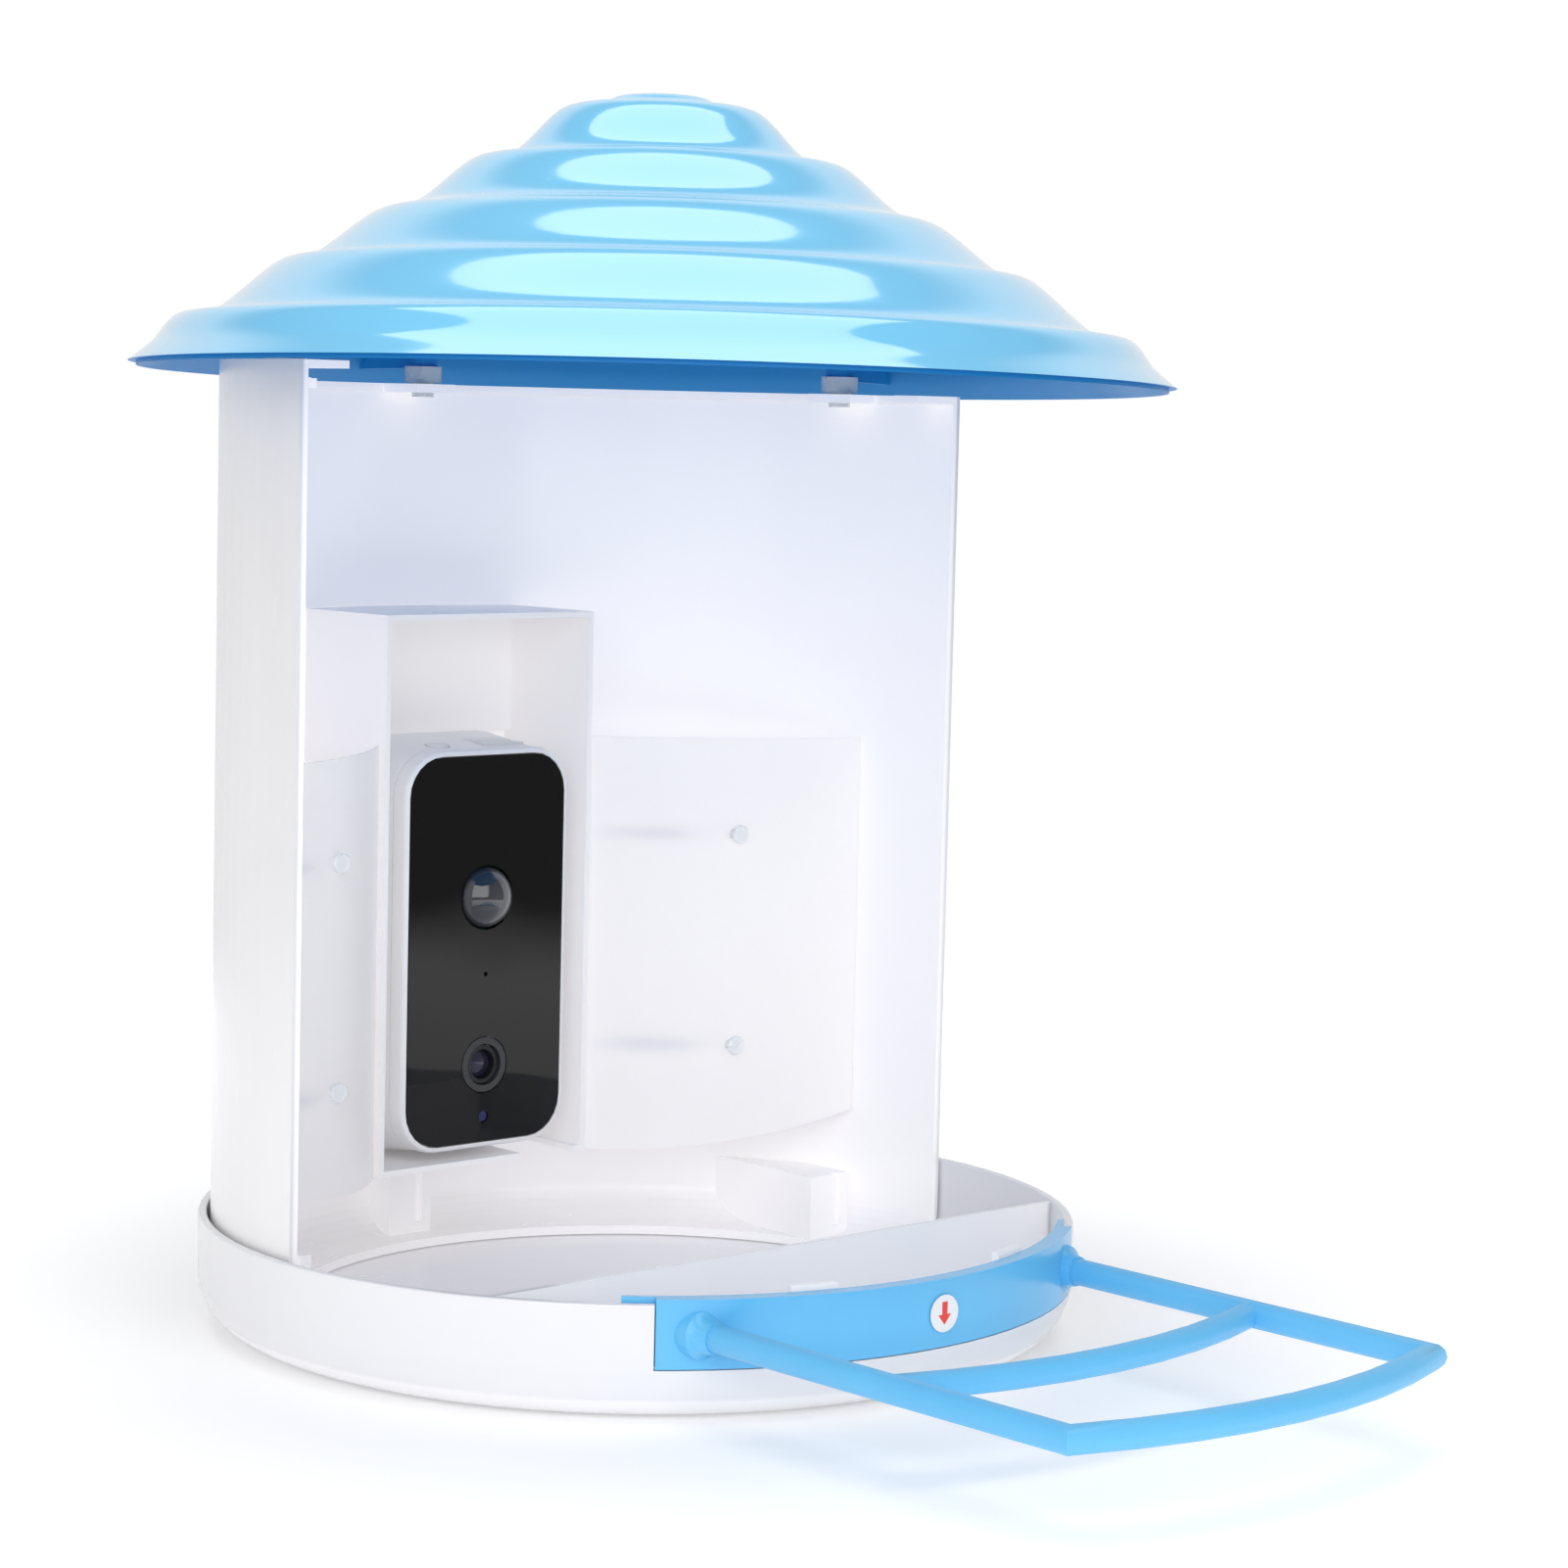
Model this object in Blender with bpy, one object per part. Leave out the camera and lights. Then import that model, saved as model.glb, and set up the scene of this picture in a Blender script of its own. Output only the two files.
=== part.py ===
"""Smart bird feeder: a round tray, a half-round housing with a lift-off ringed roof, two frosted
seed sheets, a camera in an open box and a perch that drops into a notch in the tray's rim.

Lengths are metres and +Z is up. The origin is the centre of the tray's underside, on the
axis of the round housing, and the open front of the feeder faces -Y.
"""
import math

import bmesh
import bpy
from mathutils import Matrix, Vector

for leftover in list(bpy.data.objects):
    bpy.data.objects.remove(leftover, do_unlink=True)

# Clearances
GAP = 0.0003                   # air left between pieces that touch
OVERRUN = 0.002                # how far a cutter runs past what it cuts
ROOT = 0.0008                  # how deep a rib or boss is sunk into what it grows from

# Tray
TRAY_RADIUS = 0.1066
TRAY_HEIGHT = 0.0274
TRAY_WALL = 0.0022
TRAY_FLOOR = 0.0024
TRAY_EDGE_RADIUS = 0.0135      # outside rounding between the underside and the wall
TRAY_RIM_ROUNDING = 0.0007
BAFFLE_DISTANCE = 0.0548       # from the axis to the front of the straight baffle
BAFFLE_THICKNESS = 0.0018
BAFFLE_DROP = 0.0005           # how far the baffle's edge stays below the rim
CLIP_ANGLE = 17.6              # degrees from the front to each clip behind the perch band
CLIP_WIDTH = 0.0115
CLIP_THICKNESS = 0.002
CLIP_HEIGHT = 0.0298
CLIP_GRIP = 0.0012             # nose of the clip's hook
NOTCH_HALF_ANGLE = 38.2        # degrees from the front to each end of the notch
NOTCH_DEPTH = 0.0147
SCREW_RECESS_DEPTH = 0.0015

# Half-round housing
HOUSING_CLEARANCE = 0.0008     # between the housing and the inside of the tray's wall
HOUSING_WALL = 0.0022
HOUSING_HEIGHT = 0.2243
HOUSING_COVE_RADIUS = 0.009    # inside rounding between the lip and the wall
HOUSING_LIP_WIDTH = 0.0174     # reach of the flat lip and cove inward from the wall
HOUSING_BEAD_HEIGHT = 0.0016   # bead round the inside of the top edge
HOUSING_BEAD_DEPTH = 0.0007
BOSS_ANGLE = 72.0              # degrees from the back to each side boss, post and sleeve
BOSS_WIDTH = 0.0135
BOSS_HEIGHT = 0.0165
CENTRE_BOSS_REACH = 0.0094
SIDE_BOSS_FRONT = 0.024        # distance of a side boss's front face behind the axis
SIDE_BOSS_INSET = 0.0144       # from the housing's inner surface, sideways, to a side boss's middle
BOSS_GROOVE_WIDTH = 0.0026
BOSS_GROOVE_DEPTH = 0.0016
LEDGE_REACH = 0.0149
LEDGE_WIDTH = 0.0124
LEDGE_THICKNESS = 0.0022
HOOK_HEIGHT = 0.0022           # rise of the left end's upstand above the wall
HOOK_SWEEP = 41.0              # degrees of wall that the upstand covers
HOOK_REACH = 0.0112
HOOK_THICKNESS = 0.0018
TAB_REACH = 0.0128
TAB_DEPTH = 0.009
TAB_THICKNESS = 0.0018

# Screws that hold the housing on the tray
SCREW_SHANK_RADIUS = 0.0012
SCREW_HEAD_RADIUS = 0.0024
SCREW_HEAD_HEIGHT = 0.0011
SCREW_LENGTH = 0.012
SCREW_SETBACK = 0.0058         # from a boss's front face to the screw

# Sleeves and posts between the housing and the roof
POST_RADIUS = 0.0037
POST_INSET = 0.0094            # from the housing's inner surface to a post's axis
SLEEVE_WALL = 0.0008
SLEEVE_HEIGHT = 0.0042
SPIGOT_RADIUS = 0.0028
SPIGOT_LENGTH = 0.0036

# Camera box
BOX_WIDTH = 0.0662
BOX_DEPTH = 0.0402             # from the housing's inner surface at the back to the box's front
BOX_BOTTOM = 0.0283
BOX_HEIGHT = 0.1412
BOX_WALL = 0.0014
BOX_BACK_SETBACK = 0.0321      # from the box's front to its back plate
BOX_BACK_HEIGHT = 0.0331
BOX_SHELF_WIDTH = 0.0452       # the part of the bottom that is closed, from the left wall
BOX_FLANGE_WIDTH = 0.0038      # turned-in foot of the right wall

# Frosted seed sheets
SHEET_THICKNESS = 0.0008
SHEET_TOP = 0.137
SHEET_BOTTOM = 0.0282
SHEET_CORNER_RISE = 0.0095     # how much higher the bottom edge ends at the wall
SHEET_BOW = 0.0062             # how far the sheet bows to the front
SHEET_SETBACK = 0.0022         # from the box's front to the sheet's inner edge
SHEET_OUTER_ANGLE = 74.5         # degrees from the back to the sheet's end at the wall
SHEET_STEPS = 12
PIN_SHARE = 0.53               # place of the pins along the sheet
PIN_HEIGHTS = (0.0565, 0.112)
PIN_HEAD_RADIUS = 0.0025
PIN_HEAD_HEIGHT = 0.0009
PIN_SHANK_RADIUS = 0.0012
PIN_LENGTH = 0.009
STANDOFF_RADIUS = 0.0026

# Roof
ROOF_RADIUS = 0.125
ROOF_HEIGHT = 0.0667           # from the brim's edge to the top
ROOF_BRIM_LIFT = 0.0031        # of the brim's edge above the housing's top
ROOF_TIP = math.radians(1.0)   # the roof rests tipped towards its low side
ROOF_LOW_SIDE = 50.0           # degrees from the back towards +X
ROOF_WALL = 0.002
ROOF_RIB_THICKNESS = 0.0016
ROOF_RIB_LENGTH = 0.0265
ROOF_RIB_DROP = 0.0026         # of the rib's lower edge above the brim's edge
# Each ring of the roof from the top down: radius and height of its foot, as shares of the
# roof's radius and height, and the same of its shoulder further out.
ROOF_RING_SHARES = (
    ((0.0, 1.0), (0.078, 0.990)),
    ((0.117, 0.962), (0.192, 0.936)),
    ((0.281, 0.779), (0.360, 0.747)),
    ((0.460, 0.596), (0.545, 0.546)),
    ((0.656, 0.393), (0.724, 0.360)),
    ((0.838, 0.188), (0.912, 0.162)),
)
ROOF_FLARE_SHARE = (0.955, 0.070)
ROOF_STEPS = 2                 # points of the curve between two given points

# Perch
BAND_RISE = 0.0012             # of the band's top above the tray's rim
BAND_FLANGE = 0.0015
BAND_FLANGE_ANGLE = 4.0        # degrees by which the flange runs past the notch
ROD_RADIUS = 0.0032
ROD_SPACING = 0.1138
ROD_HEIGHT = 0.0206
PERCH_REACH = 0.1996           # from the axis to the corners of the outer bar
INNER_BAR_REACH = 0.1484
INNER_BAR_RADIUS = 0.003
BAR_BOW = 0.0108
BAR_STEPS = 8
FLARE_RADIUS = 0.0056
FLARE_LENGTH = 0.0042
STICKER_RADIUS = 0.0043
STICKER_THICKNESS = 0.0003

# Camera
CAMERA_WIDTH = 0.0525
CAMERA_HEIGHT = 0.1026
CAMERA_DEPTH = 0.027
CAMERA_CORNER = 0.0116
CAMERA_FLARE = 0.0024          # how far the case widens on each side towards its back
CAMERA_SETBACK = 0.0005        # of the camera's face behind the box's front
CAMERA_WALL = 0.0016
CAMERA_EDGE = 0.0012
BEZEL_DEPTH = 0.005
BEZEL_RIM = 0.0014
BEZEL_LEDGE = 0.002
WINDOW_THICKNESS = 0.0015
PIR_HEIGHT = 0.0646            # of each opening's centre above the camera's underside
LENS_HEIGHT = 0.0215
MICROPHONE_HEIGHT = 0.0449
LIGHT_HEIGHT = 0.0081
PIR_RADIUS = 0.0081
PIR_BULGE = 0.0048
PIR_WALL = 0.0009
PIR_CAN_RADIUS = 0.0046
PIR_CAN_DEPTH = 0.0023
LENS_RING_RADIUS = 0.0071
LENS_RING_WALL = 0.0017
LENS_RING_DEPTH = 0.0022
BARREL_RADIUS = 0.0050
BARREL_WALL = 0.0011
LENS_THICKNESS = 0.0026
MICROPHONE_RADIUS = 0.002
MICROPHONE_HOLE_RADIUS = 0.0006
LIGHT_RADIUS = 0.0013
BOARD_THICKNESS = 0.001
BOARD_MARGIN = 0.0035          # between a board and the case round it
BOARD_TOP_MARGIN = 0.0066
BOARD_BOTTOM = 0.0288          # of the main board's lower edge above the camera's underside
SENSOR_BOARD_WIDTH = 0.02
SENSOR_BOARD_HEIGHT = 0.0232
SENSOR_BOARD_BOTTOM = 0.0051
SENSOR_BOARD_DEPTH = 0.0118    # from the camera's face to the board
SENSOR_CHIP_SIZE = 0.0066
SENSOR_CHIP_THICKNESS = 0.0009
STANDOFF_PAIR_SPACING = 0.0146
CASE_POST_RADIUS = 0.0018
BATTERY_RADIUS = 0.0092
BATTERY_BOTTOM = 0.0288
BATTERY_HEADROOM = 0.0088      # from a cell's top to the camera's upper side
BATTERY_TIP_RADIUS = 0.003
BATTERY_TIP_HEIGHT = 0.001
SPEAKER_RADIUS = 0.0085
SPEAKER_THICKNESS = 0.0044
SPEAKER_OFFSET = -0.0148
ANTENNA_WIDTH = 0.005
ANTENNA_HEIGHT = 0.03
ANTENNA_THICKNESS = 0.0004
ANTENNA_BOTTOM = 0.045
CASE_SCREW_RADIUS = 0.0011
CASE_SCREW_HEAD_RADIUS = 0.0019
CASE_SCREW_HEAD_HEIGHT = 0.0011
CASE_SCREW_LENGTH = 0.0226
CASE_SCREW_MARGIN = 0.0058     # from the case's sides to a corner screw

# Charging socket and its cover, and the power button, in the camera's top
PORT_WIDTH = 0.009
PORT_DEPTH = 0.0032
PORT_HEIGHT = 0.0062
PORT_WALL = 0.0004
PORT_OFFSET = 0.0098
COVER_WIDTH = 0.013
COVER_LENGTH = 0.0088
COVER_THICKNESS = 0.0014
BUTTON_RADIUS = 0.003
BUTTON_FLANGE_RADIUS = 0.0039
BUTTON_FLANGE_THICKNESS = 0.0007
BUTTON_RISE = 0.0006
BUTTON_TRAVEL = 0.0004
BUTTON_OFFSET = -0.0098
SWITCH_WIDTH = 0.0048
SWITCH_PLUNGER_RADIUS = 0.0012
SWITCH_PLUNGER_HEIGHT = 0.0009
SWITCH_HEIGHT = 0.0035

# Fineness of round surfaces
TRAY_STEPS = 80
HOUSING_STEPS = 48
ROOF_TURN_STEPS = 64
ROUND_SIDES = 20
SMALL_SIDES = 12
SMOOTH_ANGLE = math.radians(32.0)

# Places that follow from the sizes above
TRAY_INNER = TRAY_RADIUS - TRAY_WALL
NOTCH_BOTTOM = TRAY_HEIGHT - NOTCH_DEPTH
HOUSING_RADIUS = TRAY_INNER - HOUSING_CLEARANCE
HOUSING_INNER = HOUSING_RADIUS - HOUSING_WALL
HOUSING_BOTTOM = TRAY_FLOOR + GAP
HOUSING_TOP = HOUSING_BOTTOM + HOUSING_HEIGHT
LIP_TOP = HOUSING_BOTTOM + HOUSING_WALL
LIP_INNER = HOUSING_INNER - HOUSING_LIP_WIDTH
CLIP_OUTER = TRAY_INNER - GAP - BAND_FLANGE - GAP
BOX_FRONT = HOUSING_INNER - BOX_DEPTH
BOX_TOP = BOX_BOTTOM + BOX_HEIGHT
BOX_HALF = BOX_WIDTH / 2
BOX_FLOOR = BOX_BOTTOM + BOX_WALL
POST_CIRCLE = HOUSING_INNER - POST_INSET
SLEEVE_BOTTOM = HOUSING_TOP + GAP
SLEEVE_BORE = POST_RADIUS + GAP
TIP_DROP = math.tan(ROOF_TIP)  # of the roof's low side for each metre from the axis
BRIM_HEIGHT = HOUSING_TOP + ROOF_BRIM_LIFT
CAMERA_FACE = BOX_FRONT + CAMERA_SETBACK
CAMERA_BACK = CAMERA_FACE + CAMERA_DEPTH
CAMERA_BOTTOM = BOX_FLOOR + GAP + CAMERA_FLARE
CAMERA_TOP = CAMERA_BOTTOM + CAMERA_HEIGHT
CAMERA_CENTRE = CAMERA_BOTTOM + CAMERA_HEIGHT / 2
BATTERY_LENGTH = CAMERA_HEIGHT - BATTERY_BOTTOM - BATTERY_HEADROOM
BEZEL_BACK = CAMERA_FACE + BEZEL_DEPTH
CASE_FRONT = BEZEL_BACK + GAP
CASE_INNER_BACK = CAMERA_BACK - CAMERA_WALL
WINDOW_BACK = CAMERA_FACE + WINDOW_THICKNESS
BOARD_FRONT = CASE_FRONT
BOARD_BACK = BOARD_FRONT + BOARD_THICKNESS
SENSOR_BOARD_FRONT = CAMERA_FACE + SENSOR_BOARD_DEPTH
SENSOR_BOARD_BACK = SENSOR_BOARD_FRONT + BOARD_THICKNESS
BAND_TOP = TRAY_HEIGHT + BAND_RISE
BOSS_TURNS = {"back": 0.0, "right": BOSS_ANGLE, "left": -BOSS_ANGLE}
SIDES = {"left": -1, "right": 1}
LEVELS = {"lower": PIN_HEIGHTS[0], "upper": PIN_HEIGHTS[1]}


def plastic(name, color, roughness, metallic=0.0, transmission=0.0):
    """A Principled material."""
    material = bpy.data.materials.new(name)
    material.use_nodes = True
    shader = material.node_tree.nodes["Principled BSDF"]
    shader.inputs["Base Color"].default_value = (*color, 1.0)
    shader.inputs["Roughness"].default_value = roughness
    shader.inputs["Metallic"].default_value = metallic
    shader.inputs["Transmission Weight"].default_value = transmission
    return material


WHITE = (0.86, 0.87, 0.90)
BLUE = (0.13, 0.50, 0.90)
BLACK = (0.01, 0.01, 0.012)


def place(name, bm, material, parent=None):
    """Turns a finished bmesh into a named object."""
    bmesh.ops.recalc_face_normals(bm, faces=bm.faces)
    mesh = bpy.data.meshes.new(name)
    bm.to_mesh(mesh)
    bm.free()
    mesh.materials.append(material)
    mesh.shade_smooth()
    mesh.set_sharp_from_angle(angle=SMOOTH_ANGLE)
    obj = bpy.data.objects.new(name, mesh)
    bpy.context.scene.collection.objects.link(obj)
    if parent is not None:
        obj.parent = parent
        obj.matrix_parent_inverse = Matrix.Translation(parent.location).inverted()
    return obj


def guide(name, bm, parent=None):
    """A solid that only shapes another one."""
    obj = place(name, bm, GUIDE_MATERIAL, parent)
    obj.hide_render = True
    obj.display_type = "WIRE"
    return obj


def pivot(name, location):
    """An empty on a joint's axis, which carries a moving body."""
    empty = bpy.data.objects.new(name, None)
    empty.location = location
    empty.empty_display_size = ROD_RADIUS
    bpy.context.scene.collection.objects.link(empty)
    return empty


def combine(obj, other, operation):
    """Adds an exact Boolean of another solid to an object."""
    modifier = obj.modifiers.new(other.name, "BOOLEAN")
    modifier.operation = operation
    modifier.solver = "EXACT"
    modifier.object = other


def weld(obj, *others):
    for other in others:
        combine(obj, other, "UNION")


def cut(obj, *others):
    for other in others:
        combine(obj, other, "DIFFERENCE")


def arc(centre, radius, start, end, steps):
    """Points on an arc, with angles in degrees."""
    points = []
    for index in range(steps + 1):
        angle = math.radians(start + (end - start) * index / steps)
        points.append((centre[0] + radius * math.cos(angle), centre[1] + radius * math.sin(angle)))
    return points


def rounded_rectangle(width, height, radius, centre=(0.0, 0.0), steps=6):
    """Outline of a rectangle with round corners."""
    points = []
    for index, (side_x, side_y) in enumerate(((1, 1), (-1, 1), (-1, -1), (1, -1))):
        x = centre[0] + side_x * (width / 2 - radius)
        y = centre[1] + side_y * (height / 2 - radius)
        points += arc((x, y), radius, 90.0 * index, 90.0 * (index + 1), steps)
    return points


def circle(radius, centre=(0.0, 0.0), sides=ROUND_SIDES):
    return arc(centre, radius, 0.0, 360.0, sides)[:-1]


def rectangle(low, high):
    return [(low[0], low[1]), (high[0], low[1]), (high[0], high[1]), (low[0], high[1])]


def along_z(point, level):
    return (point[0], point[1], level)


def along_y(point, level):
    return (point[0], level, point[1])


def lofted(sections, to_space):
    """A closed solid through outlines of equal length: pairs of outline and level."""
    bm = bmesh.new()
    rings = [[bm.verts.new(to_space(point, level)) for point in outline] for outline, level in sections]
    bm.faces.new(rings[0])
    bm.faces.new(rings[-1])
    for lower, upper in zip(rings, rings[1:]):
        for index in range(len(lower)):
            after = (index + 1) % len(lower)
            bm.faces.new((lower[index], lower[after], upper[after], upper[index]))
    return bm


def upright(outline, low, high):
    """A prism on a plan outline."""
    return lofted(((outline, low), (outline, high)), along_z)


def facing(outline, front, back):
    """A prism on an outline seen from the front."""
    return lofted(((outline, front), (outline, back)), along_y)


def block(low, high):
    return upright(rectangle(low[:2], high[:2]), low[2], high[2])


def turned(profile, steps, start=0.0, sweep=360.0, centre=(0.0, 0.0)):
    """Turns a closed profile of radius and height about a vertical axis."""
    bm = bmesh.new()
    whole = sweep >= 360.0
    count = steps if whole else steps + 1
    axis_points = {}
    rings = []
    for index in range(count):
        angle = math.radians(start + sweep * index / steps)
        ring = []
        for place_in_profile, (radius, height) in enumerate(profile):
            if radius == 0.0 and place_in_profile in axis_points:
                ring.append(axis_points[place_in_profile])
                continue
            x = centre[0] + radius * math.cos(angle)
            y = centre[1] + radius * math.sin(angle)
            vertex = bm.verts.new((x, y, height))
            ring.append(vertex)
            if radius == 0.0:
                axis_points[place_in_profile] = vertex
        rings.append(ring)
    for index in range(steps):
        here, there = rings[index], rings[(index + 1) % count]
        for corner in range(len(profile)):
            after = (corner + 1) % len(profile)
            corners = []
            for vertex in (here[corner], here[after], there[after], there[corner]):
                if vertex not in corners:
                    corners.append(vertex)
            if len(corners) > 2:
                bm.faces.new(corners)
    if not whole:
        bm.faces.new(rings[0])
        bm.faces.new(rings[-1])
    return bm


def spun_y(profile, centre, steps=ROUND_SIDES):
    """Turns a closed profile of radius and depth about an axis along Y through a point."""
    bm = turned(profile, steps)
    swing = Matrix(((1, 0, 0, centre[0]), (0, 0, 1, 0), (0, 1, 0, centre[1]), (0, 0, 0, 1)))
    bmesh.ops.transform(bm, matrix=swing, verts=bm.verts)
    return bm


def tube(path, radius, sides=SMALL_SIDES):
    """A round bar with mitred corners along points that lie at one height."""
    bm = bmesh.new()
    rings = []
    for index, point in enumerate(path):
        before = path[max(index - 1, 0)]
        after = path[min(index + 1, len(path) - 1)]
        into = (Vector(point) - Vector(before)).normalized() if index else None
        out = (Vector(after) - Vector(point)).normalized() if index < len(path) - 1 else None
        into = into or out
        out = out or into
        along = (into + out).normalized()
        side = along.cross(Vector((0.0, 0.0, 1.0))).normalized()
        stretch = 1.0 / max(along.dot(into), 0.5)
        ring = []
        for corner in range(sides):
            angle = 2.0 * math.pi * corner / sides
            offset = side * math.cos(angle) * radius * stretch + Vector((0.0, 0.0, math.sin(angle) * radius))
            ring.append(bm.verts.new(Vector(point) + offset))
        rings.append(ring)
    bm.faces.new(rings[0])
    bm.faces.new(rings[-1])
    for lower, upper in zip(rings, rings[1:]):
        for corner in range(sides):
            after = (corner + 1) % sides
            bm.faces.new((lower[corner], lower[after], upper[after], upper[corner]))
    return bm


def polar(radius, degrees):
    """Plan point at an angle measured from the back of the feeder towards +X."""
    angle = math.radians(degrees)
    return (radius * math.sin(angle), radius * math.cos(angle))


def on_circle(radius, x):
    """Distance behind the axis of a circle's point at x."""
    return math.sqrt(radius * radius - x * x)


GUIDE_MATERIAL = plastic("guide", WHITE, 0.5)
TRAY_PLASTIC = plastic("tray_plastic", WHITE, 0.25)
HOUSING_PLASTIC = plastic("housing_plastic", WHITE, 0.28)
ROOF_PLASTIC = plastic("roof_plastic", BLUE, 0.1)
PERCH_PLASTIC = plastic("perch_plastic", BLUE, 0.42)
FROSTED = plastic("frosted_sheet", (0.88, 0.90, 0.91), 0.45, transmission=0.5)
CLEAR = plastic("clear_plastic", (0.85, 0.88, 0.92), 0.2, transmission=0.7)
CASE_PLASTIC = plastic("case_plastic", WHITE, 0.35)
WINDOW_PLASTIC = plastic("window_plastic", BLACK, 0.04)
DARK_PLASTIC = plastic("dark_plastic", (0.03, 0.03, 0.04), 0.3)
GLASS = plastic("lens_glass", (0.02, 0.03, 0.06), 0.02)
STEEL = plastic("steel", (0.62, 0.62, 0.64), 0.3, metallic=1.0)
BOARD = plastic("circuit_board", (0.02, 0.16, 0.08), 0.45)
CELL = plastic("battery_wrap", (0.08, 0.30, 0.60), 0.4)
RUBBER = plastic("rubber", (0.80, 0.81, 0.84), 0.6)
STICKER = plastic("sticker", (0.92, 0.92, 0.92), 0.4)


def boss_front(turn):
    """Plan place of a boss's front face: its middle, x and y."""
    if turn == 0.0:
        return (0.0, HOUSING_INNER - CENTRE_BOSS_REACH)
    return (math.copysign(HOUSING_INNER - SIDE_BOSS_INSET, turn), SIDE_BOSS_FRONT)


def boss_outline(turn):
    """Plan outline of a boss, which runs back into the wall."""
    middle, front = boss_front(turn)
    root_radius = HOUSING_INNER + ROOT
    left, right = middle - BOSS_WIDTH / 2, middle + BOSS_WIDTH / 2
    steps = 4
    outline = [(left, front), (right, front)]
    for index in range(steps + 1):
        x = right + (left - right) * index / steps
        outline.append((x, on_circle(root_radius, x)))
    return outline


def screw_place(turn):
    middle, front = boss_front(turn)
    return (middle, front + SCREW_SETBACK)


def make_tray():
    inner_edge = TRAY_EDGE_RADIUS - TRAY_WALL
    rounding = TRAY_RIM_ROUNDING
    profile = [(0.0, 0.0)]
    profile += arc((TRAY_RADIUS - TRAY_EDGE_RADIUS, TRAY_EDGE_RADIUS), TRAY_EDGE_RADIUS, -90, 0, 7)
    profile += arc((TRAY_RADIUS - rounding, TRAY_HEIGHT - rounding), rounding, 0, 90, 2)
    profile += arc((TRAY_INNER + rounding, TRAY_HEIGHT - rounding), rounding, 90, 180, 2)
    profile += arc((TRAY_INNER - inner_edge, TRAY_FLOOR + inner_edge), inner_edge, 0, -90, 6)
    profile.append((0.0, TRAY_FLOOR))
    tray = place("tray", turned(profile, TRAY_STEPS), TRAY_PLASTIC)

    edge_x = on_circle(TRAY_INNER + ROOT, BAFFLE_DISTANCE)
    back_x = on_circle(TRAY_INNER + ROOT, BAFFLE_DISTANCE - BAFFLE_THICKNESS)
    outline = [(-edge_x, -BAFFLE_DISTANCE), (edge_x, -BAFFLE_DISTANCE)]
    outline += [(back_x, BAFFLE_THICKNESS - BAFFLE_DISTANCE), (-back_x, BAFFLE_THICKNESS - BAFFLE_DISTANCE)]
    baffle = upright(outline, TRAY_FLOOR - ROOT, TRAY_HEIGHT - BAFFLE_DROP)
    trim_profile = [(0.0, 0.0)]
    trim_profile += arc((TRAY_INNER - inner_edge, TRAY_FLOOR + inner_edge), inner_edge + ROOT, -90, 0, 6)
    trim_profile += [(TRAY_INNER + ROOT, TRAY_HEIGHT + OVERRUN * 2), (0.0, TRAY_HEIGHT + OVERRUN * 2)]
    trim = guide("tray_trim", turned(trim_profile, TRAY_STEPS))
    baffle = guide("tray_baffle", baffle)
    combine(baffle, trim, "INTERSECT")
    weld(tray, baffle)

    half_sweep = math.degrees(CLIP_WIDTH / 2 / CLIP_OUTER)
    for side in (-1, 1):
        clip_inner = CLIP_OUTER - CLIP_THICKNESS
        profile = [(clip_inner, TRAY_FLOOR), (CLIP_OUTER, TRAY_FLOOR), (CLIP_OUTER, CLIP_HEIGHT - CLIP_GRIP)]
        profile += [(CLIP_OUTER - CLIP_GRIP / 2, CLIP_HEIGHT), (clip_inner, CLIP_HEIGHT)]
        start = -90 + side * CLIP_ANGLE - half_sweep
        clip = guide(f"tray_clip_{side}", turned(profile, 4, start, 2 * half_sweep))
        combine(clip, trim, "INTERSECT")
        weld(tray, clip)

    middle_radius = TRAY_INNER - GAP - BAND_FLANGE / 2
    notch = rectangle((middle_radius, NOTCH_BOTTOM), (TRAY_RADIUS + OVERRUN, TRAY_HEIGHT + OVERRUN))
    cut(tray, guide("tray_notch", turned(notch, 24, -90 - NOTCH_HALF_ANGLE, 2 * NOTCH_HALF_ANGLE)))

    for number, turn in BOSS_TURNS.items():
        x, y = screw_place(turn)
        recess = upright(circle(SCREW_HEAD_RADIUS + GAP, (x, y)), -OVERRUN, SCREW_RECESS_DEPTH)
        bore = circle(SCREW_SHANK_RADIUS + GAP, (x, y), SMALL_SIDES)
        bore = upright(bore, -OVERRUN, TRAY_FLOOR + HOUSING_WALL)
        cut(tray, guide(f"tray_recess_{number}", recess), guide(f"tray_bore_{number}", bore))


def sheet_ends():
    """Plan places of a right-hand sheet's two ends, on the line through its middle."""
    inner = Vector((BOX_HALF + GAP + SHEET_THICKNESS / 2, BOX_FRONT + SHEET_SETBACK))
    wall_radius = HOUSING_INNER - GAP - SHEET_THICKNESS
    return inner, Vector(polar(wall_radius, SHEET_OUTER_ANGLE))


def sheet_point(share):
    """Middle line of a right-hand sheet in plan, from the box to the wall."""
    inner, outer = sheet_ends()
    along = outer - inner
    forward = Vector((along.y, -along.x)).normalized()
    return inner + along * share + forward * SHEET_BOW * 4 * share * (1 - share)


def sheet_forward(share):
    """Unit plan direction out of the front of a right-hand sheet."""
    step_share = 0.01
    along = sheet_point(share + step_share) - sheet_point(share - step_share)
    return Vector((along.y, -along.x)).normalized()


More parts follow.
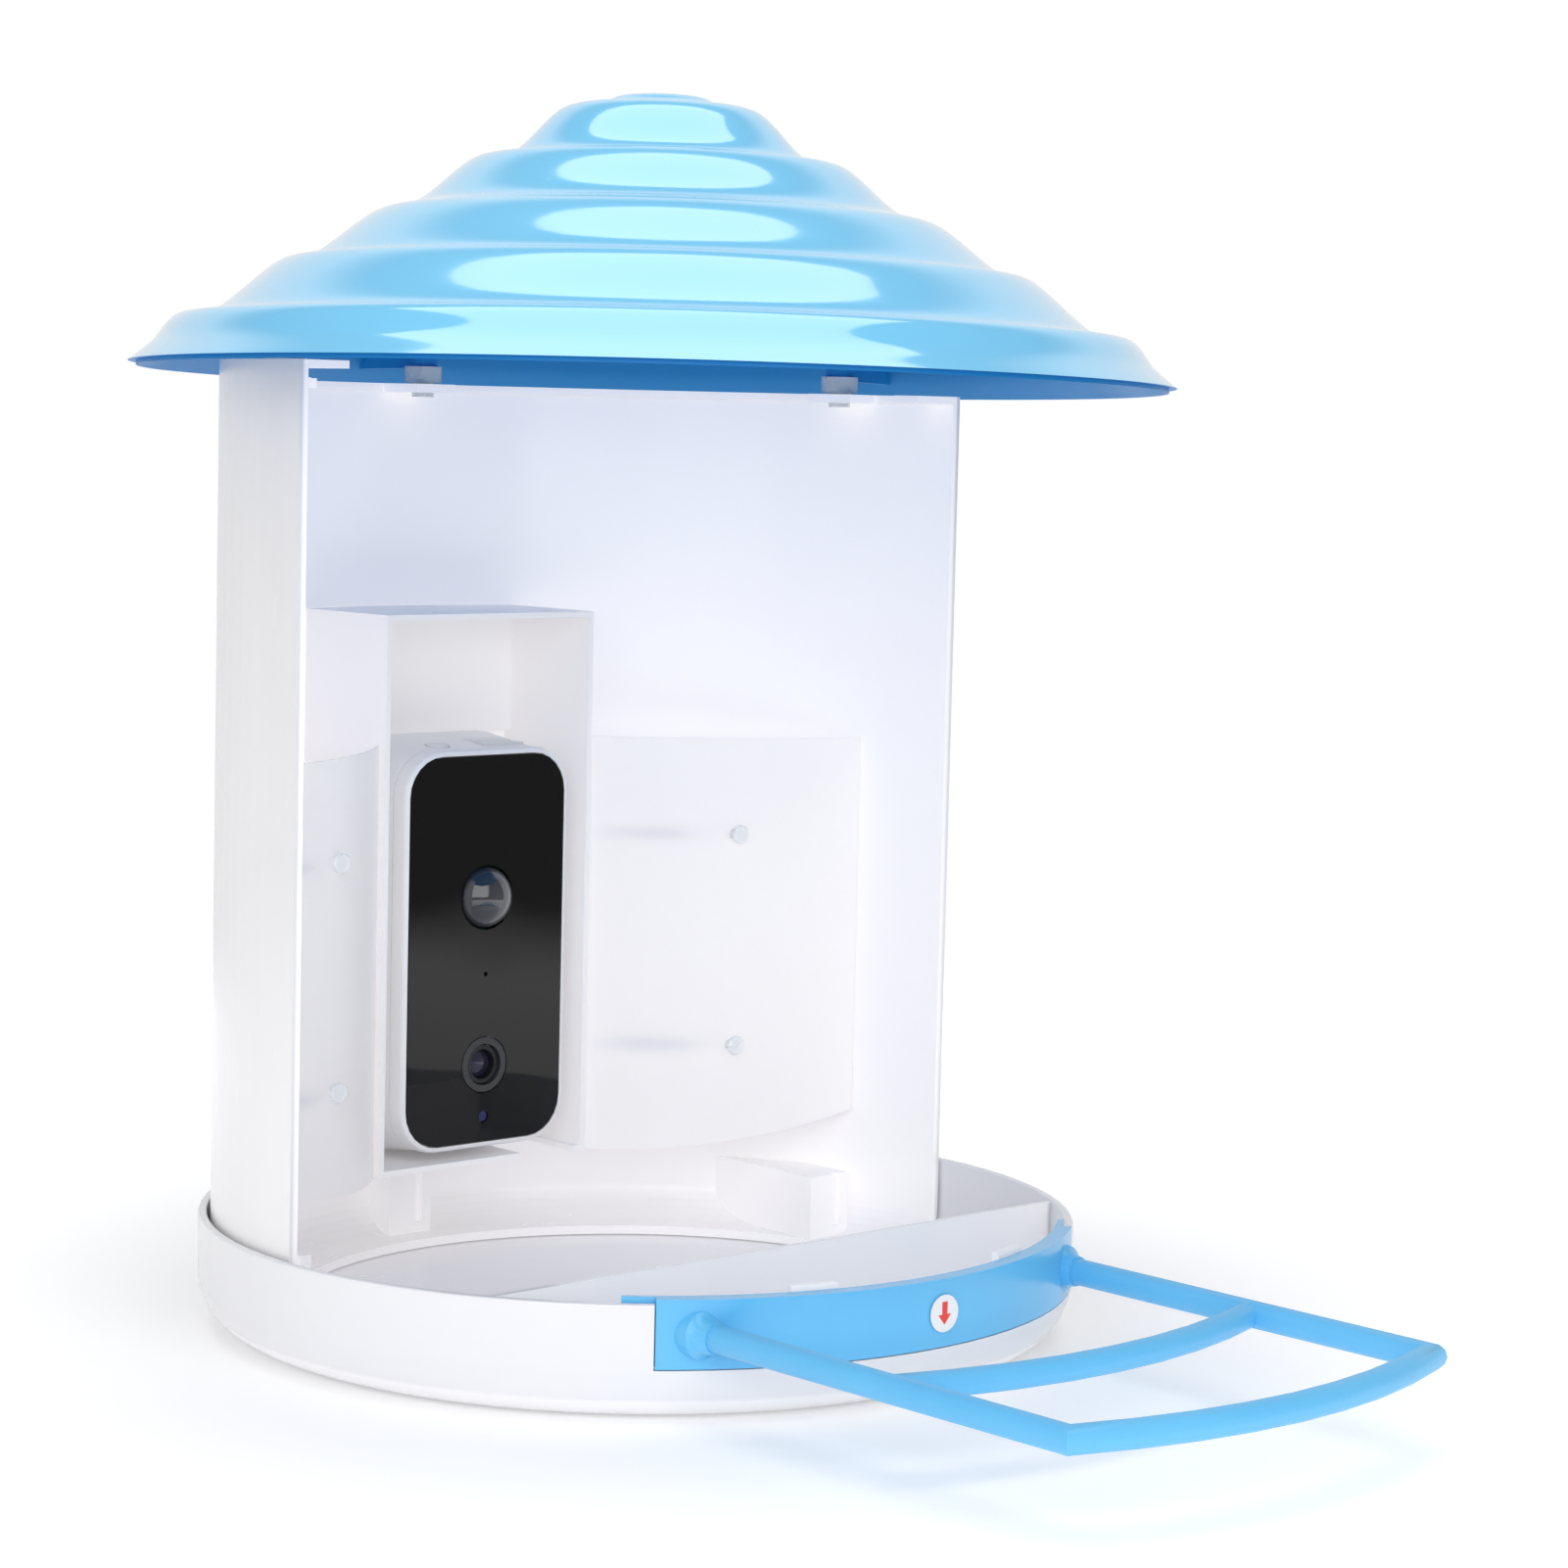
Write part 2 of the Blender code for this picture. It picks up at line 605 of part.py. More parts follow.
def make_sheet(side, name):
    """A bowed frosted sheet whose lower edge rises towards the wall."""
    bm = bmesh.new()
    rings = []
    for index in range(SHEET_STEPS + 1):
        share = index / SHEET_STEPS
        middle = sheet_point(share)
        forward = sheet_forward(share) * SHEET_THICKNESS / 2
        bottom = SHEET_BOTTOM + SHEET_CORNER_RISE * share ** 2
        front, back = middle + forward, middle - forward
        ring = []
        for plan, height in ((front, bottom), (back, bottom), (back, SHEET_TOP), (front, SHEET_TOP)):
            ring.append(bm.verts.new((side * plan.x, plan.y, height)))
        rings.append(ring)
    bm.faces.new(rings[0])
    bm.faces.new(rings[-1])
    for near, far in zip(rings, rings[1:]):
        for corner in range(4):
            after = (corner + 1) % 4
            bm.faces.new((near[corner], near[after], far[after], far[corner]))
    sheet = place(name, bm, FROSTED)
    x, y = pin_place(side)
    for number, height in enumerate(PIN_HEIGHTS):
        hole = facing(circle(PIN_SHANK_RADIUS + GAP, (x, height), SMALL_SIDES), y - OVERRUN, y + OVERRUN)
        cut(sheet, guide(f"{name}_hole_{number}", hole))


def pin_place(side):
    """Plan place where a pin's head meets the front of a sheet."""
    point = sheet_point(PIN_SHARE) + sheet_forward(PIN_SHARE) * SHEET_THICKNESS / 2
    return (side * point.x, point.y)


def pin_face():
    """Distance behind the axis of the plane that the pins' heads and standoffs keep."""
    span = PIN_HEAD_RADIUS / (sheet_ends()[1] - sheet_ends()[0]).length
    heights = [(sheet_point(PIN_SHARE + sign * span) + sheet_forward(PIN_SHARE) * SHEET_THICKNESS / 2).y
               for sign in (-1, 1)]
    return min(heights), max(heights)


def make_housing():
    outer_cove = HOUSING_COVE_RADIUS + HOUSING_WALL
    profile = [(LIP_INNER, HOUSING_BOTTOM)]
    profile += arc((HOUSING_RADIUS - outer_cove, HOUSING_BOTTOM + outer_cove), outer_cove, -90, 0, 6)
    bead_bottom = HOUSING_TOP - HOUSING_BEAD_HEIGHT
    bead_inner = HOUSING_INNER - HOUSING_BEAD_DEPTH
    profile += [(HOUSING_RADIUS, HOUSING_TOP), (bead_inner, HOUSING_TOP)]
    profile += [(bead_inner, bead_bottom), (HOUSING_INNER, bead_bottom - HOUSING_BEAD_DEPTH)]
    cove_centre = (HOUSING_INNER - HOUSING_COVE_RADIUS, LIP_TOP + HOUSING_COVE_RADIUS)
    profile += arc(cove_centre, HOUSING_COVE_RADIUS, 0, -90, 6)
    profile.append((LIP_INNER, LIP_TOP))
    housing = place("housing", turned(profile, HOUSING_STEPS, 0, 180), HOUSING_PLASTIC)

    trim = [(0.0, HOUSING_BOTTOM + ROOT)]
    trim += arc((HOUSING_RADIUS - outer_cove, HOUSING_BOTTOM + outer_cove), outer_cove - ROOT, -90, 0, 6)
    trim += [(HOUSING_RADIUS - ROOT, HOUSING_TOP), (0.0, HOUSING_TOP)]
    boss_trim = guide("housing_boss_trim", turned(trim, TRAY_STEPS))
    for number, turn in BOSS_TURNS.items():
        boss = upright(boss_outline(turn), LIP_TOP - ROOT, LIP_TOP + BOSS_HEIGHT)
        boss = guide(f"housing_boss_{number}", boss)
        combine(boss, boss_trim, "INTERSECT")
        weld(housing, boss)
        middle, front = boss_front(turn)
        left = middle + BOSS_GROOVE_WIDTH / 2
        low = (left, front - OVERRUN, LIP_TOP + BOSS_GROOVE_WIDTH)
        high = (left + BOSS_GROOVE_WIDTH, front + BOSS_GROOVE_DEPTH, LIP_TOP + BOSS_HEIGHT + OVERRUN)
        cut(housing, guide(f"housing_groove_{number}", block(low, high)))

        swing = Matrix.Rotation(math.radians(-turn), 4, "Z")
        inner, outer = HOUSING_INNER - LEDGE_REACH, HOUSING_INNER + ROOT
        ledge = rectangle((-LEDGE_WIDTH / 2, inner), (LEDGE_WIDTH / 2, on_circle(outer, LEDGE_WIDTH / 2)))
        bm = upright(ledge, HOUSING_TOP - LEDGE_THICKNESS, HOUSING_TOP)
        bmesh.ops.transform(bm, matrix=swing, verts=bm.verts)
        weld(housing, guide(f"housing_ledge_{number}", bm))

    bottom = HOUSING_TOP - ROOT
    upstand_top = HOUSING_TOP + HOOK_HEIGHT + HOOK_THICKNESS
    upstand = rectangle((HOUSING_INNER, bottom), (HOUSING_RADIUS, upstand_top))
    weld(housing, guide("housing_upstand", turned(upstand, 14, 180 - HOOK_SWEEP, HOOK_SWEEP)))
    hook_low = (HOUSING_INNER - HOOK_REACH, HOUSING_TOP + HOOK_HEIGHT)
    hook = rectangle(hook_low, (HOUSING_INNER + ROOT, upstand_top))
    weld(housing, guide("housing_hook", turned(hook, 14, 180 - HOOK_SWEEP / 3, HOOK_SWEEP / 3)))
    low = (HOUSING_INNER - TAB_REACH, 0.0, HOUSING_TOP - TAB_THICKNESS)
    high = (HOUSING_INNER + ROOT, TAB_DEPTH, HOUSING_TOP)
    weld(housing, guide("housing_tab", block(low, high)))

    for side in (-1, 1):
        x = pin_place(side)[0]
        front = pin_face()[1] + SHEET_THICKNESS * 2 + GAP
        back = on_circle(HOUSING_INNER + ROOT, abs(x) + STANDOFF_RADIUS)
        for number, height in enumerate(PIN_HEIGHTS):
            post = facing(circle(STANDOFF_RADIUS, (x, height), SMALL_SIDES), front, back)
            weld(housing, guide(f"housing_standoff_{side}_{number}", post))
    for number, turn in BOSS_TURNS.items():
        x, y = screw_place(turn)
        bore = circle(SCREW_SHANK_RADIUS + GAP, (x, y), SMALL_SIDES)
        depth = SCREW_HEAD_HEIGHT + SCREW_LENGTH + OVERRUN
        cut(housing, guide(f"housing_bore_{number}", upright(bore, -OVERRUN, depth)))
        grommet = circle(SPIGOT_RADIUS + GAP, polar(POST_CIRCLE, turn), SMALL_SIDES)
        low = HOUSING_TOP - LEDGE_THICKNESS - OVERRUN
        cut(housing, guide(f"housing_grommet_{number}", upright(grommet, low, HOUSING_TOP + OVERRUN)))
    for side in (-1, 1):
        x = pin_place(side)[0]
        back = pin_face()[0] + PIN_LENGTH + OVERRUN
        for number, height in enumerate(PIN_HEIGHTS):
            bore = facing(circle(PIN_SHANK_RADIUS + GAP, (x, height), SMALL_SIDES), pin_face()[0], back)
            cut(housing, guide(f"housing_pin_bore_{side}_{number}", bore))


def make_housing_screws():
    for name, turn in BOSS_TURNS.items():
        head_bottom = SCREW_RECESS_DEPTH - GAP - SCREW_HEAD_HEIGHT
        head_top = SCREW_RECESS_DEPTH - GAP
        profile = [(0.0, head_bottom), (SCREW_HEAD_RADIUS, head_bottom), (SCREW_HEAD_RADIUS, head_top)]
        profile += [(SCREW_SHANK_RADIUS, head_top), (SCREW_SHANK_RADIUS, head_bottom + SCREW_LENGTH)]
        profile.append((0.0, head_bottom + SCREW_LENGTH + SCREW_SHANK_RADIUS))
        screw = turned(profile, SMALL_SIDES, centre=screw_place(turn))
        place(f"housing_screw_{name}", screw, STEEL)


def make_sheet_pins():
    """Push-in pins with round heads, which hold the sheets to their standoffs."""
    head_back = pin_face()[0] - GAP
    for side_name, side in SIDES.items():
        x = pin_place(side)[0]
        for level_name, height in LEVELS.items():
            front = head_back - PIN_HEAD_HEIGHT
            profile = [(0.0, front), (PIN_HEAD_RADIUS - PIN_HEAD_HEIGHT / 3, front)]
            profile += [(PIN_HEAD_RADIUS, front + PIN_HEAD_HEIGHT / 3), (PIN_HEAD_RADIUS, head_back)]
            profile += [(PIN_SHANK_RADIUS, head_back), (PIN_SHANK_RADIUS, head_back + PIN_LENGTH)]
            profile.append((0.0, head_back + PIN_LENGTH))
            pin = spun_y(profile, (x, height), SMALL_SIDES)
            place(f"sheet_pin_{side_name}_{level_name}", pin, CLEAR)


def make_sleeves():
    """Flanged sleeves that guide the roof's posts."""
    outer = SLEEVE_BORE + SLEEVE_WALL
    top = SLEEVE_BOTTOM + SLEEVE_HEIGHT
    floor = SLEEVE_BOTTOM + SLEEVE_WALL
    for name, turn in BOSS_TURNS.items():
        spigot_bottom = SLEEVE_BOTTOM - SPIGOT_LENGTH
        bore = SPIGOT_RADIUS - SLEEVE_WALL
        profile = [(bore, spigot_bottom), (SPIGOT_RADIUS, spigot_bottom), (SPIGOT_RADIUS, SLEEVE_BOTTOM)]
        profile += [(outer, SLEEVE_BOTTOM), (outer, top), (SLEEVE_BORE, top)]
        profile += [(SLEEVE_BORE, floor), (bore, floor)]
        place(f"roof_sleeve_{name}", turned(profile, ROUND_SIDES, centre=polar(POST_CIRCLE, turn)), CLEAR)


def curve_through(points, steps):
    """A smooth curve through points, by Catmull-Rom interpolation."""
    first = Vector(points[1])
    first.x = -first.x
    controls = [first] + [Vector(point) for point in points]
    controls.append(controls[-1] * 2 - controls[-2])
    result = []
    for index in range(1, len(controls) - 2):
        p0, p1, p2, p3 = controls[index - 1:index + 3]
        for step in range(steps):
            t = step / steps
            point = p1 * 2 + (p2 - p0) * t + (p0 * 2 - p1 * 5 + p2 * 4 - p3) * t ** 2
            point += (p1 * 3 - p0 - p2 * 3 + p3) * t ** 3
            result.append(point / 2)
    result.append(controls[-2])
    return result


def roof_curve():
    """Outer line of the roof from its top to the brim's edge: radius and height."""
    points = []
    for foot, shoulder in ROOF_RING_SHARES:
        points += [foot, shoulder]
    points += [ROOF_FLARE_SHARE, (1.0, 0.0)]
    placed = [(share[0] * ROOF_RADIUS, BRIM_HEIGHT + share[1] * ROOF_HEIGHT) for share in points]
    return curve_through(placed, ROOF_STEPS)


def offset_curve(curve, distance):
    """The same line moved square to itself, inward and down."""
    result = []
    for index, point in enumerate(curve):
        before = curve[max(index - 1, 0)]
        after = curve[min(index + 1, len(curve) - 1)]
        along = (after - before).normalized()
        moved = point + Vector((along.y, -along.x)) * distance
        result.append(Vector((max(moved.x, 0.0), moved.y)))
    result[0] = Vector((0.0, curve[0].y - distance))
    result[-1] = Vector((curve[-1].x - distance, curve[-1].y))
    return result


def height_at(curve, radius):
    for inner, outer in zip(curve, curve[1:]):
        if inner.x <= radius <= outer.x:
            return inner.y + (outer.y - inner.y) * (radius - inner.x) / (outer.x - inner.x)
    return curve[-1].y


def tipped(bm):
    """Turns a finished bmesh of the roof about the brim's middle, so that its low side drops."""
    low_side = math.radians(ROOF_LOW_SIDE)
    axis = (-math.cos(low_side), math.sin(low_side), 0.0)
    turn = Matrix.Rotation(ROOF_TIP, 3, axis)
    bmesh.ops.rotate(bm, cent=(0.0, 0.0, BRIM_HEIGHT), matrix=turn, verts=bm.verts)
    return bm


def make_roof(carrier):
    """A tipped shell with ribs, on upright posts."""
    outer = roof_curve()
    inner = offset_curve(outer, ROOF_WALL)
    middle = offset_curve(outer, ROOF_WALL / 2)
    profile = [tuple(point) for point in outer] + [tuple(point) for point in reversed(inner)]
    roof = place("roof", tipped(turned(profile, ROOF_TURN_STEPS)), ROOF_PLASTIC, carrier)

    post_bottom = SLEEVE_BOTTOM + SLEEVE_WALL + GAP
    sleeve_edge = POST_CIRCLE + SLEEVE_BORE + SLEEVE_WALL + GAP
    over_sleeve = SLEEVE_BOTTOM + SLEEVE_HEIGHT + GAP + sleeve_edge * TIP_DROP
    low = BRIM_HEIGHT + ROOF_RIB_DROP
    reach = POST_CIRCLE + ROOF_RIB_LENGTH
    for number, turn in BOSS_TURNS.items():
        centre = polar(POST_CIRCLE, turn)
        drop = POST_CIRCLE * TIP_DROP * math.cos(math.radians(turn - ROOF_LOW_SIDE))
        top = height_at(inner, POST_CIRCLE + POST_RADIUS) + ROOT - drop
        post = upright(circle(POST_RADIUS, centre), post_bottom, top)
        weld(roof, guide(f"roof_post_{number}", post, carrier))
        radii = [POST_CIRCLE + ROOF_RIB_LENGTH * step / 6 for step in range(7)]
        line = [(radius, max(height_at(middle, radius), low + ROOT)) for radius in radii]
        outline = [(POST_CIRCLE, over_sleeve), (sleeve_edge, over_sleeve), (sleeve_edge, low), (reach, low)]
        bm = facing(outline + list(reversed(line)), -ROOF_RIB_THICKNESS / 2, ROOF_RIB_THICKNESS / 2)
        bmesh.ops.transform(bm, matrix=Matrix.Rotation(math.radians(90 - turn), 4, "Z"), verts=bm.verts)
        weld(roof, guide(f"roof_rib_{number}", tipped(bm), carrier))


def bar_path(half, reach, bow, steps):
    """A bar across the perch, bowed to the front."""
    path = []
    for index in range(steps + 1):
        share = 2 * index / steps - 1
        path.append((share * half, -reach - bow * (1 - share ** 2), ROD_HEIGHT))
    return path


def make_perch(carrier):
    band_outer = TRAY_RADIUS
    flange_outer = TRAY_INNER - GAP
    flange_inner = flange_outer - BAND_FLANGE
    bottom = NOTCH_BOTTOM + GAP
    flange_angle = NOTCH_HALF_ANGLE + BAND_FLANGE_ANGLE
    plate_angle = NOTCH_HALF_ANGLE - math.degrees(GAP / TRAY_RADIUS)
    flange = rectangle((flange_inner, bottom), (flange_outer, BAND_TOP))
    perch = place("perch", turned(flange, 28, -90 - flange_angle, 2 * flange_angle), PERCH_PLASTIC, carrier)
    plate = rectangle((flange_inner + BAND_FLANGE / 3, bottom), (band_outer, BAND_TOP))
    weld(perch, guide("perch_plate", turned(plate, 28, -90 - plate_angle, 2 * plate_angle), carrier))

    half = ROD_SPACING / 2
    rod_start = -on_circle(TRAY_RADIUS - TRAY_WALL / 2, half)
    path = [(-half, rod_start, ROD_HEIGHT)] + bar_path(half, PERCH_REACH, BAR_BOW, BAR_STEPS)
    path.append((half, rod_start, ROD_HEIGHT))
    weld(perch, guide("perch_frame", tube(path, ROD_RADIUS), carrier))
    inner_bar = tube(bar_path(half, INNER_BAR_REACH, BAR_BOW, BAR_STEPS), INNER_BAR_RADIUS)
    weld(perch, guide("perch_inner_bar", inner_bar, carrier))
    trim_radius = TRAY_INNER - BAND_FLANGE / 2
    trim_outline = rectangle((0.0, 0.0), (trim_radius, TRAY_RADIUS))
    trim = guide("perch_flare_trim", turned(trim_outline, TRAY_STEPS), carrier)
    for side in (-1, 1):
        surface = -on_circle(TRAY_RADIUS, half)
        back = surface + FLARE_LENGTH
        neck = ROD_RADIUS + ROOT / 2
        middle_radius = neck + (FLARE_RADIUS - neck) / 3
        profile = [(0.0, back), (FLARE_RADIUS, back), (FLARE_RADIUS, surface)]
        profile.append((middle_radius, surface - FLARE_LENGTH / 3))
        profile += [(neck, surface - FLARE_LENGTH), (0.0, surface - FLARE_LENGTH)]
        flare = guide(f"perch_flare_{side}", spun_y(profile, (side * half, ROD_HEIGHT)), carrier)
        cut(flare, trim)
        weld(perch, flare)

    front = -TRAY_RADIUS - GAP
    sticker = facing(circle(STICKER_RADIUS, (0.0, (bottom + BAND_TOP) / 2)), front - STICKER_THICKNESS, front)
    place("arrow_sticker", sticker, STICKER, carrier)


def make_camera_box():
    """An open-fronted box that ends on the housing's inner surface."""
    back = HOUSING_INNER
    box = block((-BOX_HALF, BOX_FRONT, BOX_BOTTOM), (BOX_HALF, back, BOX_TOP))
    box = place("camera_box", box, HOUSING_PLASTIC)
    inner_half = BOX_HALF - BOX_WALL
    room_top = BOX_TOP - BOX_WALL
    plate_front = BOX_FRONT + BOX_BACK_SETBACK
    plate_bottom = BOX_TOP - BOX_BACK_HEIGHT
    low = (-inner_half, BOX_FRONT - OVERRUN, BOX_FLOOR)
    cut(box, guide("box_room", block(low, (inner_half, plate_front, room_top))))
    low = (-inner_half, plate_front - ROOT, BOX_FLOOR)
    cut(box, guide("box_back_opening", block(low, (inner_half, back + OVERRUN, plate_bottom))))
    low = (-inner_half, plate_front + BOX_WALL, plate_bottom - ROOT)
    cut(box, guide("box_back_space", block(low, (inner_half, back + OVERRUN, room_top))))
    low = (-BOX_HALF + BOX_SHELF_WIDTH, BOX_FRONT - OVERRUN, BOX_BOTTOM - OVERRUN)
    high = (BOX_HALF - BOX_FLANGE_WIDTH, back + OVERRUN, BOX_FLOOR + OVERRUN)
    cut(box, guide("box_bottom_opening", block(low, high)))
    radius = HOUSING_INNER - GAP
    trim = turned([(0.0, 0.0), (radius, 0.0), (radius, HOUSING_TOP), (0.0, HOUSING_TOP)], TRAY_STEPS * 2)
    combine(box, guide("box_trim", trim), "INTERSECT")


def camera_outline(inset, steps=6):
    """Outline of the camera from the front, drawn in by an even distance."""
    radius = CAMERA_CORNER - inset
    width, height = CAMERA_WIDTH - 2 * inset, CAMERA_HEIGHT - 2 * inset
    return rounded_rectangle(width, height, radius, (0.0, CAMERA_CENTRE), steps)


def level(height):
    """A height in the camera, measured from its underside."""
    return CAMERA_BOTTOM + height


def screw_corners():
    half_width = CAMERA_WIDTH / 2 - CASE_SCREW_MARGIN
    half_height = CAMERA_HEIGHT / 2 - CASE_SCREW_MARGIN
    corners = {}
    for side_name, side in SIDES.items():
        corners[f"{side_name}_lower"] = (side * half_width, CAMERA_CENTRE - half_height)
        corners[f"{side_name}_upper"] = (side * half_width, CAMERA_CENTRE + half_height)
    return corners


def case_growth(depth):
    """How far the case has widened on each side at a distance behind the axis."""
    return CAMERA_FLARE * (depth - CASE_FRONT) / (CAMERA_BACK - 2 * CAMERA_EDGE - CASE_FRONT)


def button_depth():
    """Distance behind the axis of the middle of the button."""
    return BOARD_BACK + GAP + SWITCH_WIDTH / 2


def cover_hinge():
    """Middle of the cover's hinge line; the cover is level with the case halfway along."""
    front = BOARD_BACK + GAP
    top = CAMERA_TOP + case_growth(front + COVER_LENGTH / 2)
    return (PORT_OFFSET, front + COVER_LENGTH - COVER_THICKNESS / 2, top - COVER_THICKNESS / 2)


def cover_seat():
    """Height of the floor under the cover."""
    return cover_hinge()[2] - COVER_THICKNESS / 2 - GAP


def across(outline, left, right):
    """A prism on an outline seen from the side, as pairs of depth and height."""
    return lofted(((outline, left), (outline, right)), lambda point, x: (x, point[0], point[1]))


def make_rear_case(carrier):
    edge = CAMERA_EDGE * 2
    sections = (
        (camera_outline(0.0), CASE_FRONT),
        (camera_outline(-CAMERA_FLARE), CAMERA_BACK - edge),
        (camera_outline(edge / 3 - CAMERA_FLARE), CAMERA_BACK - edge / 3),
        (camera_outline(edge - CAMERA_FLARE), CAMERA_BACK),
    )
    case = place("camera_rear_case", lofted(sections, along_y), CASE_PLASTIC, carrier)
    hollow = (
        (camera_outline(CAMERA_WALL), CASE_FRONT - OVERRUN),
        (camera_outline(CAMERA_WALL), CASE_FRONT),
        (camera_outline(CAMERA_WALL - CAMERA_FLARE), CASE_INNER_BACK - edge),
        (camera_outline(CAMERA_WALL - CAMERA_FLARE + edge / 2), CASE_INNER_BACK),
    )
    cut(case, guide("case_hollow", lofted(hollow, along_y), carrier))
    back = CASE_INNER_BACK + CAMERA_WALL / 2
    for number, corner in screw_corners().items():
        post_radius = CASE_SCREW_RADIUS + GAP + CAMERA_WALL
        post = facing(circle(post_radius, corner, SMALL_SIDES), CASE_FRONT, back)
        weld(case, guide(f"case_post_{number}", post, carrier))
        bore = circle(CASE_SCREW_RADIUS + GAP, corner, SMALL_SIDES)
        bore = facing(bore, CASE_FRONT - OVERRUN, CAMERA_BACK + OVERRUN)
        sink = CAMERA_BACK - CASE_SCREW_HEAD_HEIGHT - GAP
        head = facing(circle(CASE_SCREW_HEAD_RADIUS + GAP, corner, SMALL_SIDES), sink, CAMERA_BACK + OVERRUN)
        cut(case, guide(f"case_bore_{number}", bore, carrier), guide(f"case_sink_{number}", head, carrier))
    for side in (-1, 1):
        centre = (side * STANDOFF_PAIR_SPACING / 2, level(SENSOR_BOARD_BOTTOM + SENSOR_BOARD_HEIGHT / 4))
        post = facing(circle(CASE_POST_RADIUS, centre, SMALL_SIDES), SENSOR_BOARD_BACK + GAP, back)
        weld(case, guide(f"case_board_post_{side}", post, carrier))

    y = button_depth()
    low = CAMERA_TOP - CAMERA_WALL - OVERRUN
    high = CAMERA_TOP + CAMERA_FLARE + OVERRUN
    button_hole = upright(circle(BUTTON_RADIUS + GAP, (BUTTON_OFFSET, y)), low, high)
    cut(case, guide("case_button_hole", button_hole, carrier))

    x, hinge_y = cover_hinge()[:2]
    seat = cover_seat()
    seat_front = hinge_y + COVER_THICKNESS / 2 - COVER_LENGTH - GAP
    seat_back = hinge_y + COVER_THICKNESS / 2 + GAP
    pad_back = seat_back + CAMERA_WALL
    middle_wall = CAMERA_TOP - CAMERA_WALL / 2
    pad = [(CASE_FRONT, seat - CAMERA_WALL), (pad_back, seat - CAMERA_WALL)]
    pad += [(pad_back, middle_wall + case_growth(pad_back)), (CASE_FRONT, middle_wall)]
    pad_half = COVER_WIDTH / 2 + GAP + CAMERA_WALL
    weld(case, guide("case_cover_pad", across(pad, x - pad_half, x + pad_half), carrier))
    port_low = (x - PORT_WIDTH / 2 - GAP, BOARD_BACK, low - CAMERA_WALL)
    port_high = (x + PORT_WIDTH / 2 + GAP, BOARD_BACK + PORT_DEPTH + 2 * GAP, high)
    cut(case, guide("case_port_hole", block(port_low, port_high), carrier))
    seat_low = (x - COVER_WIDTH / 2 - GAP, seat_front, seat)
    seat_high = (x + COVER_WIDTH / 2 + GAP, seat_back, high)
    cut(case, guide("case_cover_seat", block(seat_low, seat_high), carrier))


def make_bezel(carrier):
    sections = (
        (camera_outline(CAMERA_EDGE), CAMERA_FACE),
        (camera_outline(CAMERA_EDGE / 3), CAMERA_FACE + CAMERA_EDGE / 3),
        (camera_outline(0.0), CAMERA_FACE + CAMERA_EDGE),
        (camera_outline(0.0), BEZEL_BACK),
    )
    bezel = place("camera_bezel", lofted(sections, along_y), CASE_PLASTIC, carrier)
    pocket = facing(camera_outline(BEZEL_RIM), CAMERA_FACE - OVERRUN, WINDOW_BACK + GAP)
    opening = facing(camera_outline(BEZEL_RIM + BEZEL_LEDGE), CAMERA_FACE - OVERRUN, BEZEL_BACK + OVERRUN)
    cut(bezel, guide("bezel_pocket", pocket, carrier), guide("bezel_opening", opening, carrier))
    for number, corner in screw_corners().items():
        post_radius = CASE_SCREW_RADIUS + GAP + CAMERA_WALL
        post = facing(circle(post_radius, corner, SMALL_SIDES), WINDOW_BACK + GAP + ROOT, BEZEL_BACK)
        weld(bezel, guide(f"bezel_post_{number}", post, carrier))
        bore = circle(CASE_SCREW_RADIUS + GAP, corner, SMALL_SIDES)
        bore = facing(bore, WINDOW_BACK + GAP, BEZEL_BACK + OVERRUN)
        cut(bezel, guide(f"bezel_bore_{number}", bore, carrier))


def make_window(carrier):
    window = facing(camera_outline(BEZEL_RIM + GAP), CAMERA_FACE, WINDOW_BACK)
    window = place("camera_window", window, WINDOW_PLASTIC, carrier)
    openings = (
        ("pir", PIR_RADIUS + GAP, PIR_HEIGHT),
        ("lens", LENS_RING_RADIUS + GAP, LENS_HEIGHT),
        ("microphone", MICROPHONE_HOLE_RADIUS, MICROPHONE_HEIGHT),
        ("light", LIGHT_RADIUS + GAP, LIGHT_HEIGHT),
    )
    for name, radius, height in openings:
        sides = ROUND_SIDES if radius > LIGHT_RADIUS * 2 else SMALL_SIDES
        hole = circle(radius, (0.0, level(height)), sides)
        hole = facing(hole, CAMERA_FACE - OVERRUN, WINDOW_BACK + OVERRUN)
        cut(window, guide(f"window_{name}_hole", hole, carrier))


def make_motion_sensor(carrier):
    """The domed lens of the motion sensor and the sensor's can behind it."""
    outer = []
    inner = []
    steps = 5
    bulge = PIR_BULGE + WINDOW_THICKNESS
    for index in range(steps + 1):
        angle = math.pi / 2 * index / steps
        sine, cosine = math.sin(angle), math.cos(angle)
        outer.append((PIR_RADIUS * sine, WINDOW_BACK - bulge * cosine))
        inner.append(((PIR_RADIUS - PIR_WALL) * sine, WINDOW_BACK - (bulge - PIR_WALL) * cosine))
    centre = (0.0, level(PIR_HEIGHT))
    outer[0] = (0.0, outer[0][1])
    inner[0] = (0.0, inner[0][1])
    place("pir_dome", spun_y(outer + list(reversed(inner)), centre), DARK_PLASTIC, carrier)
    can_front = BOARD_FRONT - GAP - PIR_CAN_DEPTH
    can_back = BOARD_FRONT - GAP
    profile = [(0.0, can_front), (PIR_CAN_RADIUS, can_front), (PIR_CAN_RADIUS, can_back), (0.0, can_back)]
    place("pir_sensor", spun_y(profile, centre), STEEL, carrier)


